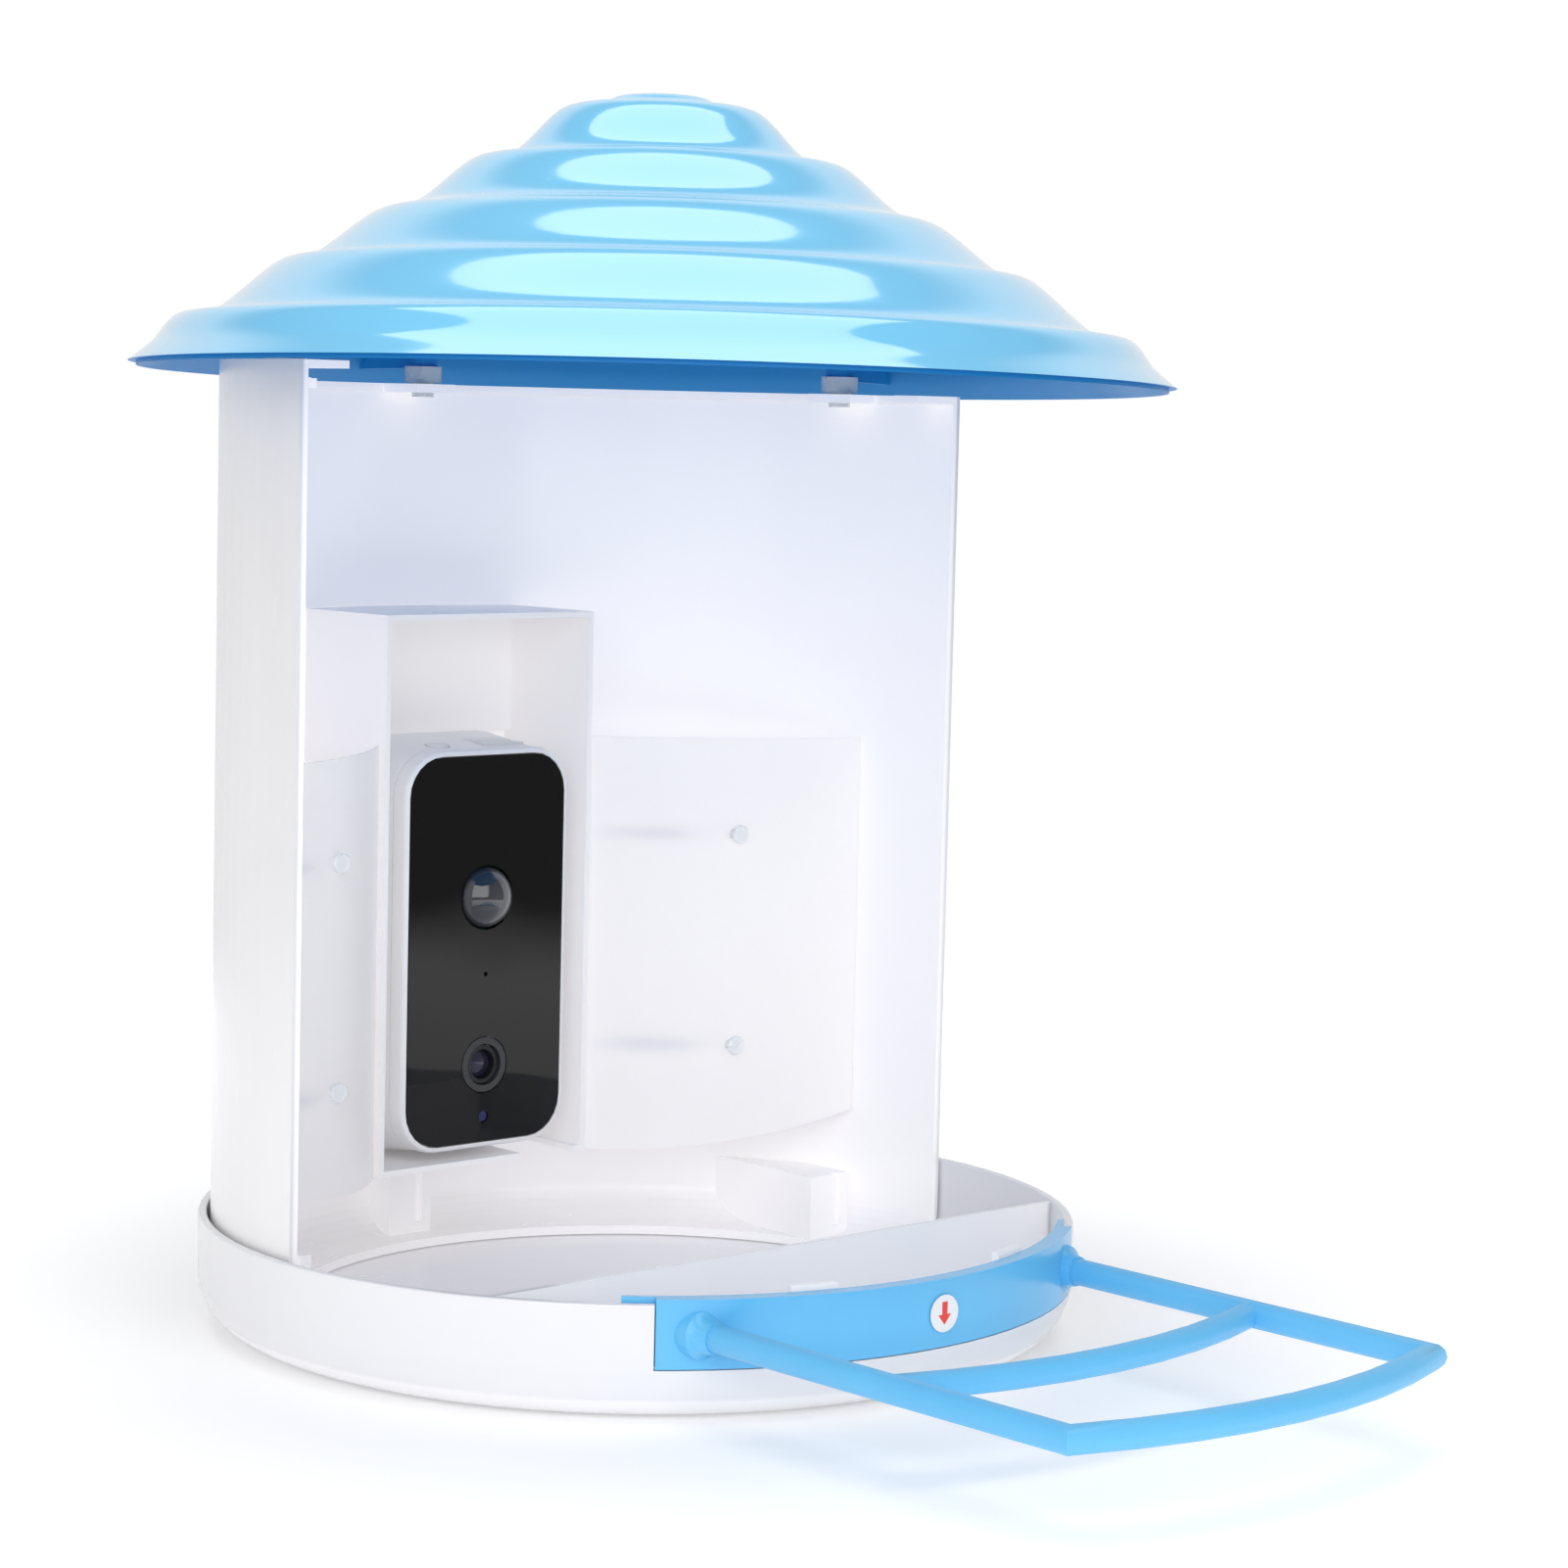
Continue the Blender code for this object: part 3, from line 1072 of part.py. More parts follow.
def make_lens(carrier):
    centre = (0.0, level(LENS_HEIGHT))
    ring_inner = LENS_RING_RADIUS - LENS_RING_WALL
    ring_back = CAMERA_FACE + LENS_RING_DEPTH
    ring = rectangle((ring_inner, CAMERA_FACE), (LENS_RING_RADIUS, ring_back))
    place("lens_ring", spun_y(ring, centre), DARK_PLASTIC, carrier)
    barrel_front = CAMERA_FACE + LENS_RING_WALL / 2
    barrel_back = SENSOR_BOARD_FRONT - GAP
    bore = BARREL_RADIUS - BARREL_WALL
    barrel = rectangle((bore, barrel_front), (BARREL_RADIUS, barrel_back))
    place("lens_barrel", spun_y(barrel, centre), DARK_PLASTIC, carrier)
    glass_front = barrel_front + BARREL_WALL
    radius = bore - GAP
    rise = LENS_THICKNESS / 3
    glass = [(0.0, glass_front), (radius / 2, glass_front + rise / 4), (radius, glass_front + rise)]
    glass += [(radius, glass_front + LENS_THICKNESS), (0.0, glass_front + LENS_THICKNESS)]
    place("lens_glass", spun_y(glass, centre), GLASS, carrier)
    half = SENSOR_CHIP_SIZE / 2 - BARREL_WALL
    low = (-half, SENSOR_BOARD_FRONT - GAP - SENSOR_CHIP_THICKNESS, centre[1] - half)
    high = (half, SENSOR_BOARD_FRONT - GAP, centre[1] + half)
    place("image_sensor", block(low, high), DARK_PLASTIC, carrier)
    pipe_front = CAMERA_FACE + MICROPHONE_HOLE_RADIUS / 2
    pipe_back = SENSOR_BOARD_FRONT - GAP
    pipe = [(0.0, pipe_front), (LIGHT_RADIUS, pipe_front), (LIGHT_RADIUS, pipe_back), (0.0, pipe_back)]
    place("light_pipe", spun_y(pipe, (0.0, level(LIGHT_HEIGHT)), SMALL_SIDES), CLEAR, carrier)


def make_electronics(carrier):
    half = CAMERA_WIDTH / 2 - CAMERA_WALL - BOARD_MARGIN
    top = CAMERA_HEIGHT - BOARD_TOP_MARGIN
    board = block((-half, BOARD_FRONT, level(BOARD_BOTTOM)), (half, BOARD_BACK, level(top)))
    board = place("main_board", board, BOARD, carrier)
    for number, (x, z) in screw_corners().items():
        radius = CASE_SCREW_RADIUS + CAMERA_WALL + 2 * GAP
        hole = facing(circle(radius, (x, z), SMALL_SIDES), BOARD_FRONT - OVERRUN, BOARD_BACK + OVERRUN)
        cut(board, guide(f"board_clearance_{number}", hole, carrier))
    sensor_top = SENSOR_BOARD_BOTTOM + SENSOR_BOARD_HEIGHT
    low = (-SENSOR_BOARD_WIDTH / 2, SENSOR_BOARD_FRONT, level(SENSOR_BOARD_BOTTOM))
    high = (SENSOR_BOARD_WIDTH / 2, SENSOR_BOARD_BACK, level(sensor_top))
    place("sensor_board", block(low, high), BOARD, carrier)

    cell_y = CASE_INNER_BACK - GAP - BATTERY_RADIUS
    low_z = level(BATTERY_BOTTOM)
    high_z = low_z + BATTERY_LENGTH
    for side, name in ((-1, "battery_cell_left"), (1, "battery_cell_right")):
        shoulder = high_z - BATTERY_TIP_HEIGHT
        profile = [(0.0, low_z), (BATTERY_RADIUS, low_z), (BATTERY_RADIUS, shoulder)]
        profile += [(BATTERY_TIP_RADIUS, shoulder), (BATTERY_TIP_RADIUS, high_z), (0.0, high_z)]
        centre = (side * (BATTERY_RADIUS + GAP), cell_y)
        place(name, turned(profile, ROUND_SIDES, centre=centre), CELL, carrier)

    back = CASE_INNER_BACK - GAP
    speaker = [(0.0, back - SPEAKER_THICKNESS), (SPEAKER_RADIUS * 2 / 3, back - SPEAKER_THICKNESS)]
    speaker += [(SPEAKER_RADIUS, back - SPEAKER_THICKNESS / 2), (SPEAKER_RADIUS, back), (0.0, back)]
    speaker_height = level(SENSOR_BOARD_BOTTOM + SENSOR_BOARD_HEIGHT * 3 / 5)
    place("speaker", spun_y(speaker, (SPEAKER_OFFSET, speaker_height)), DARK_PLASTIC, carrier)

    front = WINDOW_BACK + GAP
    microphone = rectangle((0.0, front), (MICROPHONE_RADIUS, BOARD_FRONT - GAP))
    place("microphone", spun_y(microphone, (0.0, level(MICROPHONE_HEIGHT)), SMALL_SIDES), STEEL, carrier)

    wall = CAMERA_WIDTH / 2 - CAMERA_WALL + case_growth(BOARD_BACK + ANTENNA_WIDTH / 2) - GAP
    low = (wall - ANTENNA_THICKNESS, BOARD_BACK + ANTENNA_WIDTH / 2, level(ANTENNA_BOTTOM))
    high = (wall, BOARD_BACK + ANTENNA_WIDTH * 3 / 2, level(ANTENNA_BOTTOM + ANTENNA_HEIGHT))
    place("wifi_antenna", block(low, high), BOARD, carrier)

    head_top = CAMERA_BACK
    head_bottom = CAMERA_BACK - CASE_SCREW_HEAD_HEIGHT
    for name, corner in screw_corners().items():
        profile = [(0.0, head_top), (CASE_SCREW_HEAD_RADIUS, head_top), (CASE_SCREW_HEAD_RADIUS, head_bottom)]
        profile += [(CASE_SCREW_RADIUS, head_bottom), (CASE_SCREW_RADIUS, head_bottom - CASE_SCREW_LENGTH)]
        profile.append((0.0, head_bottom - CASE_SCREW_LENGTH))
        place(f"case_screw_{name}", spun_y(profile, corner, SMALL_SIDES), STEEL, carrier)


def make_top_controls(carrier, button_carrier, cover_carrier):
    """The charging socket under its rubber cover, and the power button over its switch."""
    seat_bottom = cover_seat()
    port_low = (PORT_OFFSET - PORT_WIDTH / 2, BOARD_BACK + GAP, seat_bottom - PORT_HEIGHT)
    port_high = (PORT_OFFSET + PORT_WIDTH / 2, BOARD_BACK + GAP + PORT_DEPTH, seat_bottom)
    port = place("charging_port", block(port_low, port_high), STEEL, carrier)
    low = (port_low[0] + PORT_WALL, port_low[1] + PORT_WALL, port_low[2] + PORT_WALL * 2)
    high = (port_high[0] - PORT_WALL, port_high[1] - PORT_WALL, seat_bottom + OVERRUN)
    cut(port, guide("port_room", block(low, high), carrier))
    tongue_half = PORT_WALL * 3 / 4
    middle = (port_low[1] + port_high[1]) / 2
    low = (port_low[0] + PORT_WALL * 3, middle - tongue_half, port_low[2] + PORT_WALL)
    high = (port_high[0] - PORT_WALL * 3, middle + tongue_half, seat_bottom - PORT_WALL * 2)
    weld(port, guide("port_tongue", block(low, high), carrier))

    y = button_depth()
    wall_bottom = CAMERA_TOP - CAMERA_WALL
    cap_top = CAMERA_TOP + case_growth(y) + BUTTON_RISE
    flange_top = wall_bottom - GAP
    flange_bottom = flange_top - BUTTON_FLANGE_THICKNESS
    profile = rectangle((0.0, flange_bottom), (BUTTON_FLANGE_RADIUS, flange_top))[:3]
    profile += [(BUTTON_RADIUS, flange_top), (BUTTON_RADIUS, cap_top - BUTTON_RISE / 3)]
    profile += [(BUTTON_RADIUS - BUTTON_RISE / 3, cap_top), (0.0, cap_top)]
    place("power_button", turned(profile, ROUND_SIDES, centre=(BUTTON_OFFSET, y)), RUBBER, button_carrier)
    plunger_top = flange_bottom - BUTTON_TRAVEL - GAP
    body_top = plunger_top - SWITCH_PLUNGER_HEIGHT
    low = (BUTTON_OFFSET - SWITCH_WIDTH / 2, BOARD_BACK + GAP, body_top - SWITCH_HEIGHT)
    high = (BUTTON_OFFSET + SWITCH_WIDTH / 2, BOARD_BACK + GAP + SWITCH_WIDTH, body_top)
    switch = place("power_switch", block(low, high), DARK_PLASTIC, carrier)
    plunger = circle(SWITCH_PLUNGER_RADIUS, (BUTTON_OFFSET, y), SMALL_SIDES)
    plunger = upright(plunger, body_top - ROOT, plunger_top)
    weld(switch, guide("switch_plunger", plunger, carrier))

    x, hinge_y, hinge_z = cover_hinge()
    knuckle = COVER_THICKNESS / 2
    front = hinge_y + knuckle - COVER_LENGTH
    section = [(front, hinge_z - knuckle)] + arc((hinge_y, hinge_z), knuckle, -90, 90, 6)
    section.append((front, hinge_z + knuckle))
    cover = across(section, x - COVER_WIDTH / 2, x + COVER_WIDTH / 2)
    place("port_cover", cover, RUBBER, cover_carrier)


roof_carrier = pivot("roof_lift", (0.0, 0.0, BRIM_HEIGHT))
perch_carrier = pivot("perch_lift", (0.0, -TRAY_RADIUS, ROD_HEIGHT))
camera_carrier = pivot("camera_slide", (0.0, CAMERA_BACK, CAMERA_CENTRE))
button_carrier = pivot("power_button_press", (BUTTON_OFFSET, button_depth(), CAMERA_TOP))
cover_carrier = pivot("port_cover_hinge", cover_hinge())

make_tray()
make_housing()
make_housing_screws()
make_sheet(-1, "seed_sheet_left")
make_sheet(1, "seed_sheet_right")
make_sheet_pins()
make_sleeves()
make_camera_box()
make_roof(roof_carrier)
make_perch(perch_carrier)
make_rear_case(camera_carrier)
make_bezel(camera_carrier)
make_window(camera_carrier)
make_motion_sensor(camera_carrier)
make_lens(camera_carrier)
make_electronics(camera_carrier)
make_top_controls(camera_carrier, button_carrier, cover_carrier)
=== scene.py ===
import math

import bmesh
import bpy
from mathutils import Matrix, Vector


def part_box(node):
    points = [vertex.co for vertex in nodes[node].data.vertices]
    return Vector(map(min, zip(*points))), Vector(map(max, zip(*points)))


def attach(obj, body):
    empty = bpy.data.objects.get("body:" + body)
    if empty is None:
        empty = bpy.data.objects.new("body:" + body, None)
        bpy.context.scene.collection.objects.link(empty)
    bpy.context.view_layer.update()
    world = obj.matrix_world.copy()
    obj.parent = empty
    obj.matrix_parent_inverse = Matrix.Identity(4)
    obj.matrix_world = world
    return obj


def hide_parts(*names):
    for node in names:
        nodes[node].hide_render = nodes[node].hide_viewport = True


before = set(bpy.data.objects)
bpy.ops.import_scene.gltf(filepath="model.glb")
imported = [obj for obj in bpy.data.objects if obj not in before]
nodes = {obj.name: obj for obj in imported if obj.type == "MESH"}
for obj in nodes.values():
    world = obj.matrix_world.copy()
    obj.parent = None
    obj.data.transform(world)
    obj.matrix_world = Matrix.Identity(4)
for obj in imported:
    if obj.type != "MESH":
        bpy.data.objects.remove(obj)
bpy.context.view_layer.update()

MM = 0.001


def middle_of(name):
    low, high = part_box(name)
    return (low + high) / 2


# The photograph's camera: pixels of its 1601 pixel frame, metres and radians. The sensor is in millimetres.
PHOTO_SIDE = 1601
FOCAL_PIXELS = 3982.9
CAMERA_PLACE = (-0.6116, -0.7174, 0.2204)
CAMERA_HEADING = 0.7427
CAMERA_PITCH = -0.0911
CAMERA_ROLL = 0.0242
CENTRE_SHIFT = (-5.6, -9.1)
SENSOR_WIDTH = 36.0
NEAREST_SEEN = 10.0 * MM


def add_camera():
    """The camera at the photograph's viewing angle."""
    heading, pitch, roll = CAMERA_HEADING, CAMERA_PITCH, CAMERA_ROLL
    forward = Vector((math.sin(heading) * math.cos(pitch), math.cos(heading) * math.cos(pitch),
                      math.sin(pitch)))
    level_right = Vector((math.cos(heading), -math.sin(heading), 0.0))
    level_up = level_right.cross(forward)
    right = math.cos(roll) * level_right + math.sin(roll) * level_up
    up = math.cos(roll) * level_up - math.sin(roll) * level_right
    data = bpy.data.cameras.new("camera")
    data.sensor_width = SENSOR_WIDTH
    data.lens = FOCAL_PIXELS * SENSOR_WIDTH / PHOTO_SIDE
    data.shift_x = CENTRE_SHIFT[0] / PHOTO_SIDE
    data.shift_y = CENTRE_SHIFT[1] / PHOTO_SIDE
    data.clip_start = NEAREST_SEEN
    camera = bpy.data.objects.new("camera", data)
    rotation = Matrix((right, up, -forward)).transposed().to_4x4()
    camera.matrix_world = Matrix.Translation(CAMERA_PLACE) @ rotation
    bpy.context.scene.collection.objects.link(camera)
    bpy.context.scene.camera = camera


SMOOTH_ANGLE = math.radians(32.0)
WELD_REACH = 0.002 * MM


def smoothing():
    """A node group that joins equal corners and shades all but the sharp edges smooth."""
    group = bpy.data.node_groups.new("smooth_shading", "GeometryNodeTree")
    group.interface.new_socket("Geometry", in_out="INPUT", socket_type="NodeSocketGeometry")
    group.interface.new_socket("Geometry", in_out="OUTPUT", socket_type="NodeSocketGeometry")
    make = group.nodes.new
    start, end = make("NodeGroupInput"), make("NodeGroupOutput")
    weld, plain_normals = make("GeometryNodeMergeByDistance"), make("GeometryNodeRemoveAttribute")
    faces, edges = make("GeometryNodeSetShadeSmooth"), make("GeometryNodeSetShadeSmooth")
    angle, sharp = make("GeometryNodeInputMeshEdgeAngle"), make("FunctionNodeCompare")
    weld.inputs["Distance"].default_value = WELD_REACH
    plain_normals.inputs["Name"].default_value = "custom_normal"
    faces.domain, edges.domain = "FACE", "EDGE"
    faces.inputs["Shade Smooth"].default_value = True
    edges.inputs["Shade Smooth"].default_value = False
    sharp.data_type, sharp.operation = "FLOAT", "GREATER_THAN"
    sharp.inputs[1].default_value = SMOOTH_ANGLE
    chain = [start, weld, plain_normals, faces, edges, end]
    for before, after in zip(chain, chain[1:]):
        group.links.new(before.outputs[0], after.inputs[0])
    group.links.new(angle.outputs["Unsigned Angle"], sharp.inputs[0])
    group.links.new(sharp.outputs[0], edges.inputs["Selection"])
    return group


def smooth_nodes(*pieces):
    """Smooth shading for the CAD nodes and further pieces, as modifiers, so no mesh changes."""
    group = smoothing()
    for node in list(nodes.values()) + list(pieces):
        shade = node.modifiers.new("smooth", "NODES")
        shade.node_group = group
        weigh = node.modifiers.new("weigh", "WEIGHTED_NORMAL")
        weigh.keep_sharp = True


ROOF_RADIUS = 125.0 * MM
ROOF_HEIGHT = 67.1 * MM          # from the brim's edge to the top
BRIM_HEIGHT = 229.7 * MM
ROOF_TIP = math.radians(1.2)     # towards its low side
ROOF_LOW_SIDE = 50.0             # degrees from the back towards +X
ROOF_WALL = 2.0 * MM
ROOF_TURNS = 168
ROOF_STEPS = 9                   # from one point of the profile to the next
# Each ring from the top down: radius and height of its foot, then of its shoulder, as shares.
ROOF_RING_SHARES = (
    ((0.0, 1.0), (0.078, 0.990)),
    ((0.117, 0.962), (0.192, 0.936)),
    ((0.281, 0.779), (0.360, 0.747)),
    ((0.460, 0.596), (0.545, 0.546)),
    ((0.656, 0.393), (0.724, 0.360)),
    ((0.838, 0.188), (0.912, 0.162)),
)
ROOF_FLARE_SHARE = (0.955, 0.070)
POST_CIRCLE = 92.0 * MM
POST_TURNS = (0.0, 72.0, -72.0)  # degrees from the back
POST_RADIUS = 3.7 * MM
POST_BOTTOM = 228.4 * MM
POST_SINK = 0.8 * MM             # how far posts and ribs run into the roof's wall
POST_SIDES = 32
RIB_REACH = 118.5 * MM
RIB_THICKNESS = 1.6 * MM
RIB_LIFT = 2.6 * MM              # from the brim's height to the rib's lower edge
RIB_STEPS = 12
SLEEVE_EDGE = 97.1 * MM          # where the rib's step over the sleeve ends
OVER_SLEEVE = 233.5 * MM         # the height of that step
ON_AXIS = 0.001 * MM
OUTSIDE, INSIDE = 0, 1           # the roof's two materials


def curve_through(points, steps):
    """A smooth curve through points, by Catmull-Rom interpolation."""
    first = Vector((-points[1][0], points[1][1]))
    controls = [first] + [Vector(point) for point in points]
    controls.append(controls[-1] * 2 - controls[-2])
    result = []
    for index in range(1, len(controls) - 2):
        p0, p1, p2, p3 = controls[index - 1:index + 3]
        for step in range(steps):
            t = step / steps
            point = p1 * 2 + (p2 - p0) * t + (p0 * 2 - p1 * 5 + p2 * 4 - p3) * t ** 2
            point += (p1 * 3 - p0 - p2 * 3 + p3) * t ** 3
            result.append(point / 2)
    result.append(controls[-2])
    return result


def roof_line():
    """The roof's outer profile, from its top to the brim's edge."""
    shares = [share for ring in ROOF_RING_SHARES for share in ring] + [ROOF_FLARE_SHARE, (1.0, 0.0)]
    points = [(across * ROOF_RADIUS, BRIM_HEIGHT + up * ROOF_HEIGHT) for across, up in shares]
    return curve_through(points, ROOF_STEPS)


def moved_in(line, distance):
    """A profile moved to its inner side, with its ends kept on the axis and at the brim's height."""
    result = []
    for index, point in enumerate(line):
        along = (line[min(index + 1, len(line) - 1)] - line[max(index - 1, 0)]).normalized()
        result.append(point + Vector((along.y, -along.x)) * distance)
    result[0] = Vector((0.0, line[0].y - distance))
    result[-1] = Vector((line[-1].x - distance, line[-1].y))
    return result


def height_at(line, radius):
    """The height of a profile at a radius."""
    for inner, outer in zip(line, line[1:]):
        if inner.x <= radius <= outer.x:
            return inner.y + (outer.y - inner.y) * (radius - inner.x) / (outer.x - inner.x)
    return line[-1].y


def lathed(bm, profile, turns):
    """A closed solid turned about Z from a line that starts and ends on the axis."""
    rings = []
    for radius, height in profile:
        if radius < ON_AXIS:
            rings.append([bm.verts.new((0.0, 0.0, height))] * turns)
        else:
            angles = [math.tau * step / turns for step in range(turns)]
            rings.append([bm.verts.new((radius * math.cos(a), radius * math.sin(a), height)) for a in angles])
    for upper, lower in zip(rings, rings[1:]):
        for step in range(turns):
            after = (step + 1) % turns
            corners = []
            for vert in (upper[step], lower[step], lower[after], upper[after]):
                if vert not in corners:
                    corners.append(vert)
            bm.faces.new(corners)


def plate(bm, outline, thickness, turn):
    """A flat upright plate: its outline is in distance from the axis and height."""
    out = Vector((math.sin(math.radians(turn)), math.cos(math.radians(turn)), 0.0))
    aside = Vector((out.y, -out.x, 0.0)) * (thickness / 2)
    sides = []
    for offset in (aside, -aside):
        points = [out * reach + offset + Vector((0.0, 0.0, height)) for reach, height in outline]
        sides.append([bm.verts.new(point) for point in points])
    bm.faces.new(sides[0])
    bm.faces.new(reversed(sides[1]))
    for index in range(len(outline)):
        after = (index + 1) % len(outline)
        bm.faces.new((sides[0][after], sides[0][index], sides[1][index], sides[1][after]))


def make_shell(bm, outer, inner):
    """The roof's thin wall, outer surface first."""
    profile = [tuple(point) for point in outer] + [tuple(point) for point in reversed(inner)]
    lathed(bm, profile, ROOF_TURNS)
    outer_faces = ROOF_TURNS * (len(outer) - 1)
    for index, face in enumerate(bm.faces):
        face.material_index = OUTSIDE if index < outer_faces else INSIDE


def make_ribs(bm, painted_sheen):
    """A rib from each post to the brim, with a step that clears the sleeve."""
    low = BRIM_HEIGHT + RIB_LIFT
    reaches = [POST_CIRCLE + (RIB_REACH - POST_CIRCLE) * step / RIB_STEPS for step in range(RIB_STEPS + 1)]
    upper = [(reach, max(height_at(painted_sheen, reach), low + POST_SINK)) for reach in reversed(reaches)]
    lower = [(POST_CIRCLE, OVER_SLEEVE), (SLEEVE_EDGE, OVER_SLEEVE), (SLEEVE_EDGE, low), (RIB_REACH, low)]
    for turn in POST_TURNS:
        plate(bm, lower + upper, RIB_THICKNESS, turn)


def make_posts(bm, inner):
    """Three upright posts, each cut to the tipped roof above it."""
    for turn in POST_TURNS:
        drop = POST_CIRCLE * math.tan(ROOF_TIP) * math.cos(math.radians(turn - ROOF_LOW_SIDE))
        top = height_at(inner, POST_CIRCLE + POST_RADIUS) + POST_SINK - drop
        before = set(bm.verts)
        profile = [(0.0, top), (POST_RADIUS, top), (POST_RADIUS, POST_BOTTOM), (0.0, POST_BOTTOM)]
        lathed(bm, profile, POST_SIDES)
        turned = math.radians(turn)
        place = (POST_CIRCLE * math.sin(turned), POST_CIRCLE * math.cos(turned), 0.0)
        bmesh.ops.translate(bm, vec=place, verts=[vert for vert in bm.verts if vert not in before])


def make_roof():
    """The ringed roof in full smoothness, tipped as in the photograph, with its posts and their ribs."""
    bm = bmesh.new()
    outer = roof_line()
    inner = moved_in(outer, ROOF_WALL)
    make_shell(bm, outer, inner)
    shell_faces = len(bm.faces)
    make_ribs(bm, moved_in(outer, ROOF_WALL / 2))
    low_side = math.radians(ROOF_LOW_SIDE)
    tip = Matrix.Rotation(ROOF_TIP, 3, (-math.cos(low_side), math.sin(low_side), 0.0))
    bmesh.ops.rotate(bm, cent=(0.0, 0.0, BRIM_HEIGHT), matrix=tip, verts=bm.verts)
    make_posts(bm, inner)
    for face in list(bm.faces)[shell_faces:]:
        face.material_index = INSIDE
    bmesh.ops.recalc_face_normals(bm, faces=bm.faces)
    mesh = bpy.data.meshes.new("roof_shell")
    bm.to_mesh(mesh)
    bm.free()
    roof = bpy.data.objects.new("roof_shell", mesh)
    bpy.context.scene.collection.objects.link(roof)
    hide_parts("roof")
    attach(roof, "roof_body")
    return roof


# The painted glow: emission, from no lamp, that stands in for light let through thin walls.
GLOW_TINT = (1.0, 0.965, 0.96)
GLOW_TOP = 230.0 * MM            # the height at which a glow has its top strength
GLOW_EDGE = 0.8 * MM             # over which a glow ends at its radius
LEVEL_DIMMING = 0.60             # the part of the glow that a level face lacks
CLOUD_RANGE = (0.3, 0.7)         # where nearly all values of a noise lie


class Paint:
    """A material whose colour, roughness and relief come from nodes around one Principled shader."""

    def __init__(self, name, **sockets):
        self.material = bpy.data.materials.new(name)
        self.material.use_nodes = True
        self.tree = self.material.node_tree
        self.tree.nodes.clear()
        self.output = self.tree.nodes.new("ShaderNodeOutputMaterial")
        self.shader = self.tree.nodes.new("ShaderNodeBsdfPrincipled")
        self.tree.links.new(self.shader.outputs[0], self.output.inputs["Surface"])
        for socket, value in sockets.items():
            self.shader.inputs[socket.replace("_", " ")].default_value = value
        self.place = self.add("ShaderNodeTexCoord").outputs["Object"]

    def add(self, kind, inputs=None, **settings):
        node = self.tree.nodes.new(kind)
        for key, value in settings.items():
            setattr(node, key, value)
        for key, value in (inputs or {}).items():
            self.feed(node.inputs[key], value)
        return node

    def feed(self, socket, value):
        if isinstance(value, bpy.types.NodeSocket):
            self.tree.links.new(value, socket)
        else:
            socket.default_value = value

    def set(self, socket, value):
        self.feed(self.shader.inputs[socket], value)

    def math(self, operation, a, b=0.0, c=0.0):
        return self.add("ShaderNodeMath", {0: a, 1: b, 2: c}, operation=operation).outputs[0]

    def shifted(self, centre=(0, 0, 0), stretch=(1, 1, 1)):
        """The place on the piece, measured from a centre and stretched."""
        away = self.add("ShaderNodeVectorMath", {0: self.place, 1: centre}, operation="SUBTRACT").outputs[0]
        return self.add("ShaderNodeVectorMath", {0: away, 1: stretch}, operation="MULTIPLY").outputs[0]

    def noise(self, scale, detail=2.0, rough=0.5, place=None):
        inputs = {"Vector": place or self.place, "Scale": scale, "Detail": detail, "Roughness": rough}
        return self.add("ShaderNodeTexNoise", inputs).outputs[0]

    def spots(self, scale):
        """The distance to the nearest of many scattered points."""
        return self.add("ShaderNodeTexVoronoi", {"Vector": self.place, "Scale": scale}).outputs["Distance"]

    def spread(self, value, low, high, to_low, to_high):
        """Maps a range of values evenly to another range, and stays within it."""
        inputs = {0: value, 1: low, 2: high, 3: to_low, 4: to_high}
        return self.add("ShaderNodeMapRange", inputs, clamp=True).outputs[0]

    def fade(self, value, low, high, to_low, to_high):
        """The same with soft ends."""
        inputs = {0: value, 1: low, 2: high, 3: to_low, 4: to_high}
        return self.add("ShaderNodeMapRange", inputs, interpolation_type="SMOOTHSTEP").outputs[0]

    def roughness(self, clouds, low, high):
        self.set("Roughness", self.spread(clouds, *CLOUD_RANGE, low, high))

    def blend(self, factor, first, second):
        node = self.add("ShaderNodeMix", {0: factor}, data_type="RGBA")
        self.feed(node.inputs[6], first)
        self.feed(node.inputs[7], second)
        return node.outputs[2]

    def axis(self, vector, name):
        return self.add("ShaderNodeSeparateXYZ", {0: vector}).outputs[name]

    def length(self, vector):
        return self.add("ShaderNodeVectorMath", {0: vector}, operation="LENGTH").outputs["Value"]

    def radius(self, centre):
        """The distance in millimetres from a line along Y through a centre."""
        return self.length(self.shifted((centre.x, 0.0, centre.z), (1 / MM, 0.0, 1 / MM)))

    def relief(self, *layers):
        """Bumps, each a height from 0 to 1 and the depth in metres that 1 stands for."""
        normal = None
        for height, depth in layers:
            inputs = {"Height": height, "Distance": depth, "Strength": 1.0}
            if normal:
                inputs["Normal"] = normal
            normal = self.add("ShaderNodeBump", inputs).outputs[0]
        self.set("Normal", normal)

    def painted_glow(self, strength, top_strength=None, inner_radius=1.0):
        """Painted light: an emission that stands in for the light a thin upright wall lets through, on what
        lies within a radius from the axis. A top strength makes it rise towards the roof, painted light over
        the shade under the brim; level faces get less of it.
        """
        if top_strength:
            strength = self.spread(self.axis(self.place, "Z"), 0.0, GLOW_TOP, strength, top_strength)
        self.set("Emission Color", colour(*GLOW_TINT))
        reach = self.length(self.shifted(stretch=(1, 1, 0)))
        within = self.spread(reach, inner_radius, inner_radius + GLOW_EDGE, 1.0, 0.0)
        normal = self.add("ShaderNodeNewGeometry").outputs["True Normal"]
        level = self.math("ABSOLUTE", self.axis(normal, "Z"))
        upright = self.math("SUBTRACT", 1.0, self.math("MULTIPLY", level, LEVEL_DIMMING))
        self.set("Emission Strength", self.math("MULTIPLY", self.math("MULTIPLY", within, upright), strength))

